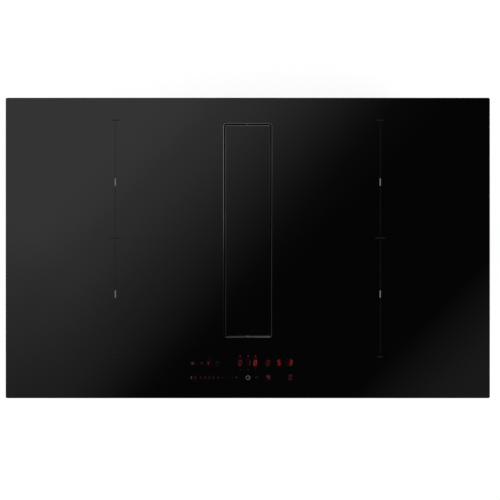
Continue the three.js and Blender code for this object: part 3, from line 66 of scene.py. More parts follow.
# %% [markdown]
# ## The camera
#
# The picture was taken from straight above, from so far away that no side of the hob shows. An
# orthographic camera would do, but other views of the part are taken with the same camera, and
# they look more natural with a little perspective. So this is a very long lens, 7 m up. Its
# distance follows from the width that the picture covers at the level of the glass.

# %% Place the camera
PICTURE_WIDTH = 0.8569
PICTURE_CENTRE = (0.0038, -0.0035)
LENS, SENSOR_WIDTH = 300.0, 36.0
CAMERA_RISE = PICTURE_WIDTH * LENS / SENSOR_WIDTH
camera_data = bpy.data.cameras.new("overhead_camera")
camera_data.lens = LENS
camera_data.sensor_width = SENSOR_WIDTH
camera_data.clip_start = 0.1
camera_data.clip_end = 100.0
camera = bpy.data.objects.new("overhead_camera", camera_data)
camera.location = (*PICTURE_CENTRE, GLASS_TOP + CAMERA_RISE)
bpy.context.scene.collection.objects.link(camera)
bpy.context.scene.camera = camera
bpy.context.scene.view_settings.view_transform = "Standard"
print("camera", round(CAMERA_RISE, 2), "m above the glass")

# %% [markdown]
# ## Small helpers for materials
#
# A finish is a node tree. Written out link by link it is long, so two helpers do the typing:
# one makes a material with its main shader, the other adds a node with its inputs already set
# or linked. Everything is procedural: patterns come from the piece's own coordinates, which
# move with it, and never from an image.

# %% Material helpers
def set_input(tree, socket, value):
    if isinstance(value, bpy.types.NodeSocket):
        tree.links.new(value, socket)
    else:
        socket.default_value = value


def add(tree, kind, inputs=None, **settings):
    """A node of that kind, with settings as attributes and inputs by name or number."""
    node = tree.nodes.new("ShaderNode" + kind)
    for key, value in settings.items():
        setattr(node, key, value)
    for key, value in (inputs or {}).items():
        set_input(tree, node.inputs[key], value)
    return node


def new_finish(name, **sockets):
    """A material, its tree and its main shader, with some sockets of the shader set."""
    material = bpy.data.materials.new(name)
    material.use_nodes = True
    tree = material.node_tree
    shader = tree.nodes["Principled BSDF"]
    for key, value in sockets.items():
        shader.inputs[key.replace("_", " ")].default_value = value
    return material, tree, shader


def bare_finish(name):
    """A material without its main shader, its tree and the socket that its looks end in."""
    material, tree, shader = new_finish(name)
    tree.nodes.remove(shader)
    return material, tree, tree.nodes["Material Output"].inputs["Surface"]


def paint(tree, shader, colour, roughness):
    set_input(tree, shader.inputs["Base Color"], colour)
    set_input(tree, shader.inputs["Roughness"], roughness)


def grey(value, tint=1.0):
    return (value, value, value * tint, 1.0)


def calc(tree, operation, a, b=0.0, third=0.5, clamp=False):
    inputs = {0: a, 1: b, 2: third}
    return add(tree, "Math", inputs, operation=operation, use_clamp=clamp).outputs[0]


def blend_colours(tree, factor, first, second):
    mix = add(tree, "Mix", data_type="RGBA")
    for key, value in (("Factor_Float", factor), ("A_Color", first), ("B_Color", second)):
        set_input(tree, next(s for s in mix.inputs if s.identifier == key), value)
    return next(s for s in mix.outputs if s.identifier == "Result_Color")


def ramp(tree, factor, stops):
    """Colours by factor; stops are (place, colour)."""
    node = add(tree, "ValToRGB", {"Fac": factor})
    elements = node.color_ramp.elements
    while len(elements) < len(stops):
        elements.new(1.0)
    for element, (place, colour) in zip(elements, stops):
        element.position = place
        element.color = colour
    return node.outputs["Color"]


def split(tree, vector):
    """X, Y and Z of a place or a direction, or the three parts of a colour."""
    return add(tree, "SeparateXYZ", {0: vector}).outputs


def own_place(tree, stretch=(1.0, 1.0, 1.0)):
    """The piece's own coordinates in metres, stretched to shape a pattern."""
    coordinates = add(tree, "TexCoord")
    scaled = add(tree, "Mapping", {"Vector": coordinates.outputs["Object"], "Scale": stretch})
    return scaled.outputs["Vector"]


def noise(tree, scale, detail=3.0, stretch=(1.0, 1.0, 1.0)):
    place = own_place(tree, stretch)
    inputs = {"Vector": place, "Scale": scale, "Detail": detail}
    return add(tree, "TexNoise", inputs).outputs["Fac"]


def between(tree, factor, low, high):
    inputs = {"Value": factor, "To Min": low, "To Max": high}
    return add(tree, "MapRange", inputs).outputs["Result"]


def raise_surface(tree, shader, height, strength, distance):
    inputs = {"Height": height, "Strength": strength, "Distance": distance}
    tree.links.new(add(tree, "Bump", inputs).outputs["Normal"], shader.inputs["Normal"])


print("helpers ready")

# %% [markdown]
# ## Floor, sky and lamps
#
# The background of the picture is plain white. Making it white with more light would burn out
# the part, so the floor and the sky only look white to the camera, to mirrors and through
# glass, by the Light Path node. The light that falls on the part stays at a plain level. The
# floor keeps a soft shadow, because part of its brightness is still reflected light.

# %% Sky and floor
def seen_directly(tree):
    """1 for rays from the camera, off a glossy surface, or through a clear one."""
    path = add(tree, "LightPath")
    looks = calc(tree, "MAXIMUM", path.outputs["Is Camera Ray"], path.outputs["Is Glossy Ray"])
    return calc(tree, "MAXIMUM", looks, path.outputs["Is Transmission Ray"])


SKY_LIGHT = 0.6
sky = bpy.data.worlds.new("studio_sky")
sky.use_nodes = True
bpy.context.scene.world = sky
sky_tree = sky.node_tree
sky_level = between(sky_tree, seen_directly(sky_tree), SKY_LIGHT, 1.0)
set_input(sky_tree, sky_tree.nodes["Background"].inputs["Strength"], sky_level)
sky_tree.nodes["Background"].inputs["Color"].default_value = grey(1.0)


def flat_sheet(name, half, height):
    mesh = bpy.data.meshes.new(name)
    corners = [(x * half, y * half, height) for x, y in ((-1, -1), (1, -1), (1, 1), (-1, 1))]
    mesh.from_pydata(corners, [], [(0, 1, 2, 3)])
    sheet = bpy.data.objects.new(name, mesh)
    bpy.context.scene.collection.objects.link(sheet)
    return sheet


FLOOR_GLOW = 0.8
FLOOR_HALF = 12.0
FLOOR_DROP = 0.0005  # below the part, so that no faces coincide
floor = flat_sheet("floor", FLOOR_HALF, -FLOOR_DROP)
floor_paint, floor_tree, floor_surface = bare_finish("floor_paint")
lit_floor = add(floor_tree, "BsdfDiffuse", {"Color": grey(0.8)})
shadow_floor = add(floor_tree, "BsdfDiffuse", {"Color": grey(0.35)})
floor_glow = add(floor_tree, "Emission", {"Color": grey(1.0), "Strength": FLOOR_GLOW})
white_floor = add(floor_tree, "AddShader", {0: shadow_floor.outputs[0], 1: floor_glow.outputs[0]})
floor_mix = add(
    floor_tree,
    "MixShader",
    {0: seen_directly(floor_tree), 1: lit_floor.outputs[0], 2: white_floor.outputs[0]},
)
floor_tree.links.new(floor_mix.outputs[0], floor_surface)
floor.data.materials.append(floor_paint)
print("sky at", SKY_LIGHT, "on the part, floor glow", FLOOR_GLOW)

# %% [markdown]
# Three soft lamps stand round the part, so that sides and edges get some shape. They hang
# higher than the softbox of the next step, so that no view finds one of them in the glass.

# %% Lamps
LAMP_AIM = Vector((0.0, 0.0, 0.1))


def soft_lamp(name, place, power, size):
    data = bpy.data.lights.new(name, "AREA")
    data.shape = "SQUARE"
    data.size = size
    data.energy = power
    lamp = bpy.data.objects.new(name, data)
    lamp.location = place
    lamp.rotation_euler = (LAMP_AIM - Vector(place)).to_track_quat("-Z", "Y").to_euler()
    bpy.context.scene.collection.objects.link(lamp)


soft_lamp("lamp_front_left", (-1.7, -1.9, 2.3), 25.0, 1.3)
soft_lamp("lamp_right", (2.2, -0.6, 2.1), 15.0, 1.2)
soft_lamp("lamp_back", (-0.6, 2.3, 2.2), 16.0, 1.2)
print("three soft lamps")

# %% [markdown]
# ## The softbox above the glass
#
# Black glass has almost no colour of its own: what one sees in it is the ceiling. In the
# picture the glass is lighter at the top left, fades to black along a diagonal, and lifts a
# little again at the bottom right. Painting that fade on the glass would be wrong, because it
# would stay there in every view. It is a mirror image, so it belongs to a softbox: a big sheet
# above the hob whose light fades along the diagonal. Glass of index 1.5 mirrors 4 % of it back.
# The real fade isn't quite straight: its dark end leans over a little, and the light is weaker
# at the far left. Two small corrections of the place and of the brightness give both.

# %% Softbox
SOFTBOX_RISE = 1.2
SOFTBOX_HALF = 3.0
GLASS_BODY = 0.0016
MIRRORED_SHARE = 0.04
OUTER_LEVEL = 0.5
BRIGHTEST_PLACE, BRIGHTEST_LEVEL = -0.75, 0.83
OUTER_PLACE = 1.0
# (place on the glass along the diagonal in mm, brightness of the glass there)
DIAGONAL_FADE = [
    (-400, 0.0343),
    (-360, 0.0330),
    (-320, 0.0296),
    (-280, 0.0257),
    (-240, 0.0238),
    (-200, 0.0205),
    (-160, 0.0169),
    (-120, 0.0134),
    (-80, 0.0104),
    (-40, 0.0074),
    (0, 0.0049),
    (40, 0.0030),
    (80, 0.0020),
    (110, 0.0016),
    (420, 0.0016),
    (440, 0.0021),
    (460, 0.0032),
    (500, 0.0051),
    (540, 0.0070),
    (580, 0.0091),
    (600, 0.0097),
    (640, 0.0098),
]
softbox = flat_sheet("softbox", SOFTBOX_HALF, GLASS_TOP + SOFTBOX_RISE)
for ray in ("camera", "diffuse", "transmission", "volume_scatter", "shadow"):
    setattr(softbox, "visible_" + ray, False)
softbox_light, box_tree, box_surface = bare_finish("softbox_light")
box_place = split(box_tree, add(box_tree, "TexCoord").outputs["Object"])
softbox.data.materials.append(softbox_light)
print("softbox", SOFTBOX_RISE, "m above the glass")

# %% [markdown]
# A place on the glass is mirrored from a place on the sheet that is a little further out, so all
# places in the fade are moved outwards by that much. A smooth step between two places does the two
# corrections: how far the dark end leans, and how much light the far left loses.

# %% Fade of the softbox
outwards = 1.0 + SOFTBOX_RISE / CAMERA_RISE


def rise_between(low_mm, high_mm, value, top=1.0):
    """0 up to one place on the glass, in mm, and top beyond the other; either may be larger."""
    inputs = {"Value": value, "To Min": 0.0, "To Max": top}
    inputs["From Min"] = low_mm * MM * outwards
    inputs["From Max"] = high_mm * MM * outwards
    return add(box_tree, "MapRange", inputs, interpolation_type="SMOOTHSTEP").outputs["Result"]


DARK_END_LEAN = 0.07
LEFT_LOSS = 0.2
box_x, box_y = box_place["X"], box_place["Y"]
diagonal = calc(box_tree, "SUBTRACT", box_x, box_y)
crosswise = calc(box_tree, "ADD", box_x, box_y)
lean_starts = rise_between(-200.0, -20.0, diagonal, DARK_END_LEAN)
lean = calc(box_tree, "MULTIPLY", lean_starts, rise_between(100.0, 0.0, diagonal))
diagonal = calc(box_tree, "MULTIPLY_ADD", crosswise, lean, third=diagonal)
loss_leftwards = rise_between(-290.0, -410.0, box_x, LEFT_LOSS)
loss = calc(box_tree, "MULTIPLY", loss_leftwards, rise_between(50.0, -60.0, box_y))
span = 2 * SOFTBOX_HALF
along_ramp = calc(box_tree, "MULTIPLY_ADD", diagonal, 1.0 / span, third=0.5)
fade_stops = [(0.0, grey(OUTER_LEVEL)), (0.5 + BRIGHTEST_PLACE / span, grey(BRIGHTEST_LEVEL))]
for place_mm, level in DIAGONAL_FADE:
    ceiling = max(0.0, (level - GLASS_BODY) / MIRRORED_SHARE)
    fade_stops.append((0.5 + place_mm * MM * outwards / span, grey(ceiling)))
fade_stops += [(0.5 + OUTER_PLACE / span, grey(OUTER_LEVEL)), (1.0, grey(OUTER_LEVEL))]
ceiling_colour = ramp(box_tree, along_ramp, fade_stops)
box_strength = calc(box_tree, "SUBTRACT", 1.0, loss)
box_glow = add(box_tree, "Emission", {"Color": ceiling_colour, "Strength": box_strength})
box_tree.links.new(box_glow.outputs[0], box_surface)
print("fade of", len(fade_stops), "steps")

# %% [markdown]
# ## Black glass-ceramic
#
# The plate is a tinted ceramic that looks black and polished. Its face needs a nearly black
# body, a very smooth surface and a hint of unevenness. The edges round the vent are ground
# with a stone, so they are slightly grey and matt. One could cut the edge off as a separate
# piece, but a mask from the surface's own direction does it: only a bevel faces half upwards.
#
# The grey isn't the same everywhere, and these changes are painted light and shade: they copy
# how brightly each part of a bevel is lit. Each side of an edge has one fade of grey at the foot
# of its bevel and one at the crest, along the side. How much a side counts is the square of how
# far the bevel leans that way, so the fades melt into each other at the corners.

# %% Greys of the ground edges, with painted light and shade
# painted light and shade: the greys below change along each side and from foot to crest
# way that the bevel leans: (fade at its foot, fade at its crest), each as (place in mm, grey)
PLATE_EDGE_GREYS_AND_PAINTED_LIGHT = {
    (1, 0): (
        [(0, 0.004)],
        [(-127, 0.004), (-72, 0.011), (-12, 0.042), (48, 0.155), (150, 0.220)],
    ),
    (-1, 0): (
        [(0, 0.052), (48, 0.038), (116, 0.018), (150, 0.004)],
        [(-72, 0.0), (-12, 0.003), (48, 0.014), (116, 0.044), (150, 0.088)],
    ),
    (0, -1): ([(0, 0.012)], [(0, 0.105)]),
    (0, 1): ([(-39, 0.015), (-35, 0.170), (0, 0.120), (30, 0.250)], [(0, 0.004)]),
}
FLAP_EDGE_GREYS_AND_PAINTED_LIGHT = {
    (-1, 0): (
        [(0, 0.001)],
        [(-127, 0.022), (-12, 0.026), (48, 0.055), (116, 0.071), (150, 0.092)],
    ),
    (1, 0): ([(-12, 0.002), (48, 0.007), (116, 0.025), (150, 0.037)],) * 2,
    (0, 1): ([(0, 0.020)], [(0, 0.120)]),
    (0, -1): ([(0, 0.001)], [(0, 0.001)]),
}
EDGE_REACH = 250.0  # mm either way from the middle that a fade covers
FOOT_BELOW, CREST_BELOW = 0.0011, 0.0007  # metres below the face


def fade_grey_with_painted_light(tree, along, fade):
    """The grey with painted light at a place along a side, of a list of (place in mm, grey)."""
    stops = [(0.5 + place / (2 * EDGE_REACH), grey(level)) for place, level in fade]
    stops += stops[-1:]
    return split(tree, ramp(tree, along, stops))["X"]


def ground_grey_and_painted_light(tree, normal, place, edges):
    """The edge's grey and painted light, from its lean, its place and how far below the face it is.
    """
    inputs = {"Value": place["Z"], "To Min": 0.0, "To Max": 1.0}
    inputs["From Min"] = GLASS_TOP - FOOT_BELOW
    inputs["From Max"] = GLASS_TOP - CREST_BELOW
    crest = add(tree, "MapRange", inputs).outputs["Result"]
    total = 0.0
    for (lean_x, lean_y), fades in edges.items():
        side, run = ("X", "Y") if lean_x else ("Y", "X")
        along = calc(tree, "MULTIPLY", place[run], 0.5 / (EDGE_REACH * MM))
        along = calc(tree, "ADD", along, 0.5)
        foot_grey, crest_grey = (fade_grey_with_painted_light(tree, along, fade) for fade in fades)
        tone = between(tree, crest, foot_grey, crest_grey)
        lean = calc(tree, "MULTIPLY", normal[side], lean_x + lean_y, clamp=True)
        share = calc(tree, "MULTIPLY", calc(tree, "MULTIPLY", lean, lean), 2.0)
        total = calc(tree, "MULTIPLY_ADD", share, tone, third=total)
    return total


print("edge greys for", len(PLATE_EDGE_GREYS_AND_PAINTED_LIGHT) + len(FLAP_EDGE_GREYS_AND_PAINTED_LIGHT), "sides")

# %% [markdown]
# The finish itself is then two greys, one for the face and one for the ground edges, with a
# mask between them. The mask also takes most of the shine off the edges. The plate and the
# flap have the same finish, apart from the fades of painted light and shade on their edges.

# %% Glass finish
BEVEL_LEAN = math.sqrt(0.5)  # upward part of a bevel's direction
BEVEL_TOLERANCE = 0.2
VENT_REACH = 0.05  # metres from the middle that the vent's edges lie within


def glass_finish(name, edges):
    material, tree, shader = new_finish(name, IOR=1.5)
    coordinates = add(tree, "TexCoord")
    normal = split(tree, coordinates.outputs["Normal"])
    place = split(tree, coordinates.outputs["Object"])
    off_bevel = calc(tree, "ABSOLUTE", calc(tree, "SUBTRACT", normal["Z"], BEVEL_LEAN))
    on_bevel = calc(tree, "LESS_THAN", off_bevel, BEVEL_TOLERANCE)
    near_vent = calc(tree, "LESS_THAN", calc(tree, "ABSOLUTE", place["X"]), VENT_REACH)
    ground = calc(tree, "MULTIPLY", on_bevel, near_vent)
    darker, lighter = grey(GLASS_BODY * 0.7, 1.05), grey(GLASS_BODY * 1.3, 1.05)
    body = blend_colours(tree, noise(tree, 1400.0, 2.0), darker, lighter)
    grain = between(tree, noise(tree, 2500.0), 0.75, 1.25)
    # the ground grey carries the painted light and shade of the fades
    edge_grey_and_painted_light = calc(tree, "MULTIPLY", ground_grey_and_painted_light(tree, normal, place, edges), grain)
    edge = add(tree, "CombineXYZ", {0: edge_grey_and_painted_light, 1: edge_grey_and_painted_light, 2: edge_grey_and_painted_light}).outputs[0]
    face_roughness = between(tree, noise(tree, 14.0, 4.0), 0.02, 0.05)
    roughness = calc(tree, "ADD", face_roughness, calc(tree, "MULTIPLY", ground, 0.4))
    paint(tree, shader, blend_colours(tree, ground, body, edge), roughness)
    set_input(tree, shader.inputs["Specular IOR Level"], between(tree, ground, 0.5, 0.05))
    raise_surface(tree, shader, noise(tree, 9.0, 1.0), 0.02, 0.0004)
    return material


plate_glass = glass_finish("black_glass_plate", PLATE_EDGE_GREYS_AND_PAINTED_LIGHT)
flap_glass = glass_finish("black_glass_flap", FLAP_EDGE_GREYS_AND_PAINTED_LIGHT)
print("two glass finishes, body grey", GLASS_BODY)

# %% [markdown]
# ## Foam, rubber-like and moulded plastics
#
# The seal is black closed-cell foam: dull, with small pits. The air box, the collar and the
# filter frame are moulded in black plastic with a fine spark-eroded grain, which breaks up the
# shine. A pattern of small cells as bump gives both, at different scales.

# %% Foam and plastic finishes
def grained_plastic(name, dark, light, roughness, grain_scale, grain_strength):
    material, tree, shader = new_finish(name)
    colour = blend_colours(tree, noise(tree, 35.0, 5.0), dark, light)
    sheen = between(tree, noise(tree, 160.0), roughness - 0.05, roughness + 0.07)
    paint(tree, shader, colour, sheen)
    grain = add(tree, "TexVoronoi", {"Vector": own_place(tree), "Scale": grain_scale})
    raise_surface(tree, shader, grain.outputs["Distance"], grain_strength, 0.0003)
    return material


foam = grained_plastic("foam_rubber", grey(0.010), grey(0.018), 0.9, 1500.0, 0.8)
black_plastic = grained_plastic(
    "moulded_black_plastic", grey(0.014, 1.08), grey(0.022, 1.08), 0.42, 1100.0, 0.25
)
grey_plastic = grained_plastic(
    "moulded_grey_plastic", grey(0.085, 1.06), grey(0.115, 1.06), 0.38, 1300.0, 0.2
)
print("foam and two plastics")

# %% [markdown]
# ## Sheet metals
#
# Galvanised sheet shows spangle: flat zinc crystals a few millimetres wide, each of its own
# grey. A Voronoi texture is just that. Stainless steel is brushed along its length, which is
# noise squeezed into long thin lines. Aluminium is drawn or rolled, finer and brighter. Zinc
# plated screws and clamps have a faint yellow and blue cast.

# %% Galvanised sheet
SPANGLE_SCALE = 170.0
SPANGLE_WARP = 0.01  # metres that the crystals' borders wander
galvanised, zinc_tree, zinc_shader = new_finish("galvanised_sheet", Metallic=1.0)
wander = add(zinc_tree, "TexNoise", {"Vector": own_place(zinc_tree), "Scale": 60.0})
shift = add(zinc_tree, "VectorMath", {0: wander.outputs["Color"]}, operation="MULTIPLY")
shift.inputs[1].default_value = (SPANGLE_WARP,) * 3
warped = {0: own_place(zinc_tree), 1: shift.outputs[0]}
warped_place = add(zinc_tree, "VectorMath", warped, operation="ADD").outputs[0]
spangle = add(zinc_tree, "TexVoronoi", {"Vector": warped_place, "Scale": SPANGLE_SCALE})
crystal = split(zinc_tree, spangle.outputs["Color"])
zinc_colour = ramp(
    zinc_tree,
    crystal["X"],
    [(0.0, (0.50, 0.51, 0.52, 1)), (0.5, (0.55, 0.56, 0.57, 1)), (1.0, (0.61, 0.62, 0.63, 1))],
)
paint(zinc_tree, zinc_shader, zinc_colour, between(zinc_tree, crystal["Y"], 0.32, 0.46))
raise_surface(zinc_tree, zinc_shader, noise(zinc_tree, 700.0), 0.08, 0.0002)
print("spangle of about", round(1000 / SPANGLE_SCALE), "mm")

# %% [markdown]
# The other metals have no crystals but lines. Brushing and rolling both draw a noise out into
# long streaks along the sheet, which make it lighter and rougher by turns, so one helper gives
# the stainless and the aluminium parts.

# %% Brushed and rolled metals
def brushed_metal(name, dark, light, roughness, stretch, scratch):
    material, tree, shader = new_finish(name, Metallic=1.0)
    lines = noise(tree, 60.0, 6.0, stretch)
    polish = between(tree, lines, roughness - 0.08, roughness + 0.1)
    paint(tree, shader, blend_colours(tree, lines, dark, light), polish)
    raise_surface(tree, shader, lines, scratch, 0.0002)
    return material


stainless = brushed_metal(
    "brushed_stainless", (0.42, 0.42, 0.42, 1), (0.62, 0.62, 0.61, 1), 0.3, (40.0, 0.6, 40.0), 0.12
)
aluminium = brushed_metal(
    "rolled_aluminium", (0.58, 0.59, 0.6, 1), (0.74, 0.75, 0.76, 1), 0.36, (22.0, 1.0, 22.0), 0.08
)
zinc_plate, plate_tree, plate_shader = new_finish("zinc_plated_steel", Metallic=1.0)
cast_colour = ramp(
    plate_tree,
    noise(plate_tree, 45.0, 2.0),
    [(0.3, (0.56, 0.57, 0.60, 1)), (0.5, (0.62, 0.60, 0.52, 1)), (0.7, (0.57, 0.56, 0.57, 1))],
)
plate_roughness = between(plate_tree, noise(plate_tree, 300.0), 0.24, 0.38)
paint(plate_tree, plate_shader, cast_colour, plate_roughness)
raise_surface(plate_tree, plate_shader, noise(plate_tree, 1200.0), 0.05, 0.0002)
print("three metals")

# %% [markdown]
# ## Inside finishes: enamelled wire, mica and circuit boards
#
# The windings are copper wire under a clear enamel, so a metal with a coat. The pads over
# them are pressed mica flakes. A circuit board is green lacquer over copper tracks; its tall
# parts are fused with it in the CAD model, so a mask by height gives those their own dark
# colours, one shade for each by a coarse cell pattern.

# %% Wire and mica finishes
enamelled_wire, wire_tree, wire_shader = new_finish("enamelled_copper_wire", Metallic=1.0)
wire_shader.inputs["Coat Weight"].default_value = 0.5
wire_shader.inputs["Coat Roughness"].default_value = 0.12
strands = noise(wire_tree, 240.0, 2.0, (1.0, 1.0, 3.0))
wire_colour = blend_colours(wire_tree, strands, (0.32, 0.115, 0.05, 1), (0.56, 0.25, 0.12, 1))
paint(wire_tree, wire_shader, wire_colour, between(wire_tree, strands, 0.25, 0.4))
raise_surface(wire_tree, wire_shader, strands, 0.4, 0.0004)

mica, mica_tree, mica_shader = new_finish("pressed_mica")
flakes = add(mica_tree, "TexVoronoi", {"Vector": own_place(mica_tree), "Scale": 260.0})
flake_tone = split(mica_tree, flakes.outputs["Color"])["X"]
mica_colour = blend_colours(mica_tree, flake_tone, (0.50, 0.42, 0.29, 1), (0.66, 0.60, 0.47, 1))
paint(mica_tree, mica_shader, mica_colour, between(mica_tree, flake_tone, 0.45, 0.75))
raise_surface(mica_tree, mica_shader, flakes.outputs["Distance"], 0.3, 0.0003)
print("wire and mica")

# %% [markdown]
# A board's top face is the only place that tells the lacquer from the parts on it, so the mask
# compares each point's height with that face. Below it the tracks are a brick pattern, whose
# joints are thin straight lines.

# %% Circuit board finish
def board_finish(name, top_mm):
    """Green lacquer with tracks up to the board's top face, dark parts above it."""
    material, tree, shader = new_finish(name)
    height = split(tree, add(tree, "TexCoord").outputs["Object"])["Z"]
    bricks = {"Vector": own_place(tree), "Scale": 90.0, "Mortar Size": 0.012, "Bias": -0.2}
    tracks = add(tree, "TexBrick", bricks, offset=0.37, squash=0.7)
    dark_green, light_green = (0.010, 0.070, 0.030, 1), (0.03, 0.14, 0.05, 1)
    lacquer = blend_colours(tree, tracks.outputs["Fac"], dark_green, light_green)
    cells = add(tree, "TexVoronoi", {"Vector": own_place(tree), "Scale": 38.0})
    blue = (0.02, 0.05, 0.12, 1)
    part_stops = [(0.0, grey(0.012)), (0.45, grey(0.03)), (0.6, blue), (0.85, grey(0.11))]
    parts = ramp(tree, split(tree, cells.outputs["Color"])["X"], part_stops)
    tall = calc(tree, "GREATER_THAN", height, top_mm * MM)
    gloss = between(tree, noise(tree, 200.0), 0.25, 0.45)
    paint(tree, shader, blend_colours(tree, tall, lacquer, parts), gloss)
    raise_surface(tree, shader, tracks.outputs["Fac"], 0.15, 0.0002)
    return material


HALF_GAP = 0.15  # mm, of the 0.3 mm between a board and what stands on it


def board_top(carried):
    """Height of a board's face in mm, from the part that stands on it."""
    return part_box(carried)[0].z / MM - HALF_GAP


power_board = board_finish("power_board_lacquer", board_top("heat_sink_left"))
touch_board = board_finish("touch_board_lacquer", board_top("display_module"))
print("power boards change colour at", round(board_top("heat_sink_left"), 1), "mm")

# %% [markdown]
# ## Dressing the CAD solids
#
# The record says for each solid which material slot it has. Going by the slot instead of by
# the name keeps the list short, and no solid can be forgotten. Only the boards need a closer
# look, because their height decides where the lacquer ends.

# %% Give each CAD node its finish
finish_of_slot = {
    "black_glass": plate_glass,
    "foam_seal": foam,
    "galvanised_steel": galvanised,
    "black_plastic": black_plastic,
    "grey_plastic": grey_plastic,
    "stainless_steel": stainless,
    "aluminium": aluminium,
    "winding_wire": enamelled_wire,
    "mica_sheet": mica,
    "circuit_board": power_board,
    "zinc_steel": zinc_plate,
}
slot_of_node = {part["node"]: part["material_slot"] for part in frame["record"]["subparts"]}
for name, node in nodes.items():
    node.data.materials.clear()
    node.data.materials.append(finish_of_slot[slot_of_node[name]])
nodes["touch_board"].data.materials[0] = touch_board
nodes["flap_glass"].data.materials[0] = flap_glass
print("dressed", len(slot_of_node), "solids")

# %% [markdown]
# ## Helpers for new pieces
#
# Every new piece is a mesh written in the same coordinates as the CAD model, in metres. One
# helper turns points and faces into an object, gives it its finish, and says which moving body
# it rides on. The shapes come from two others: a loft runs a skin through a row of rings and
# closes both ends, and a flat piece is a loft of two rings for each outline. Print, strips,
# ribs, screw heads, strands and wire are all lofts.

# %% Piece helpers
PRINT_LEVELS = (GLASS_TOP + 0.00002, GLASS_TOP + 0.00006)


def make_piece(name, points, faces, finish, body, smooth=False):
    mesh = bpy.data.meshes.new(name)
    mesh.from_pydata(points, [], faces)
    mesh.validate()
    for polygon in mesh.polygons:
        polygon.use_smooth = smooth
    mesh.materials.append(finish)
    piece = bpy.data.objects.new(name, mesh)
    bpy.context.scene.collection.objects.link(piece)
    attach(piece, body)
    return piece


def loft(rings):
    """A closed skin through rings that turn anticlockwise, as seen from beyond the last one."""
    count = len(rings[0])
    end = count * (len(rings) - 1)
    faces = [tuple(reversed(range(count)))]
    for start in range(0, end, count):
        for i in range(count):
            j = (i + 1) % count
            faces.append((start + i, start + j, start + count + j, start + count + i))
    faces.append(tuple(end + i for i in range(count)))
    return [point for ring in rings for point in ring], faces


def gather(points, faces, new_points, new_faces):
    """Adds a shape to the points and faces of a piece."""
    start = len(points)
    points += new_points
    faces += [tuple(start + i for i in face) for face in new_faces]


def flat_piece(name, outlines, finish, body="cooktop", levels=PRINT_LEVELS):
    """A closed flat shape for each outline (mm, anticlockwise) between two levels (m)."""
    points, faces = [], []
    for outline in outlines:
        gather(points, faces, *loft([[(x * MM, y * MM, z) for x, y in outline] for z in levels]))
    make_piece(name, points, faces, finish, body)


def bar_outline(x, y, width, depth, corner=0.0, steps=3):
    """A rectangle about a point, with rounded corners if asked."""
    if corner <= 0:
        signs = ((-1, -1), (1, -1), (1, 1), (-1, 1))
        return [(x + sx * width / 2, y + sy * depth / 2) for sx, sy in signs]
    outline = []
    for quarter, (sx, sy) in enumerate(((1, -1), (1, 1), (-1, 1), (-1, -1))):
        for step in range(steps + 1):
            angle = math.radians(-90 + 90 * quarter + 90 * step / steps)
            cx = x + sx * (width / 2 - corner)
            cy = y + sy * (depth / 2 - corner)
            outline.append((cx + corner * math.cos(angle), cy + corner * math.sin(angle)))
    return outline


def oval_outline(x, y, width, depth, steps=20):
    turns = [2 * math.pi * i / steps for i in range(steps)]
    return [(x + width / 2 * math.cos(turn), y + depth / 2 * math.sin(turn)) for turn in turns]


print("print is", round((PRINT_LEVELS[1] - PRINT_LEVELS[0]) / MM, 3), "mm thick")

# %% [markdown]
# ## Zone marks
#
# On each side a thin line with three ticks shows where the pans go, with a brighter dash in
# the middle of each zone. It is enamel, printed on the glass before firing, so it has a little
# thickness and doesn't shine. A matt dark grey is right: where the glass mirrors the bright
# ceiling the line looks darker than the glass, and where it is black the line looks lighter.

# %% Zone print
def matt_print(name, dark, light):
    material, tree, shader = new_finish(name, Roughness=0.85)
    shader.inputs["Specular IOR Level"].default_value = 0.05
    colour = blend_colours(tree, noise(tree, 3000.0, 2.0), grey(dark), grey(light))
    set_input(tree, shader.inputs["Base Color"], colour)
    return material


faint_print = matt_print("faint_zone_print", 0.008, 0.012)
dash_print = matt_print("light_zone_print", 0.14, 0.17)
ZONE_X = 227.0
LINE_TOP, LINE_MIDDLE, LINE_FOOT = 219.0, 17.0, -186.4
DASHES_Y = (112.9, -78.9)
DASH_LENGTH, DASH_WIDTH, DASH_ROOM = 12.5, 2.0, 2.5
LINE_WIDTH, TICK_HEIGHT, TICK_ROOM = 0.7, 1.7, 5.0
TICKS = ((LINE_TOP, 13.0), (LINE_MIDDLE, 17.0), (LINE_FOOT, 9.5))  # (y, width)


def zone_marks(side, label):
    x = side * ZONE_X
    half_dash = DASH_LENGTH / 2 + DASH_ROOM
    upper_dash, lower_dash = DASHES_Y
    runs = [
        (LINE_TOP - TICK_ROOM, upper_dash + half_dash),
        (upper_dash - half_dash, LINE_MIDDLE + TICK_ROOM),
        (LINE_MIDDLE - TICK_ROOM, lower_dash + half_dash),
        (lower_dash - half_dash, LINE_FOOT + TICK_ROOM),
    ]
    outlines = [bar_outline(x, (high + low) / 2, LINE_WIDTH, high - low, 0.3) for high, low in runs]
    outlines += [bar_outline(x, y, width, TICK_HEIGHT, 0.5) for y, width in TICKS]
    flat_piece("zone_line_" + label, outlines, faint_print)
    dashes = [bar_outline(x, y, DASH_WIDTH, DASH_LENGTH, 0.6) for y in DASHES_Y]
    flat_piece("zone_dashes_" + label, dashes, dash_print)
    return len(outlines) + len(dashes)


print(zone_marks(-1, "left") + zone_marks(1, "right"), "zone marks printed")

# %% [markdown]
# ## Lights behind the glass
#
# The digits, dots and signs of the controls are lamps on a display board right under the
# glass, which shine through its tint. Making the glass truly see-through for them would need
# a clear plate over black parts, slow and noisy. Because the light reaches the eye from the
# upper face anyway, thin glowing films on that face look the same. Each lamp is a little
# uneven, as light through a diffuser is.

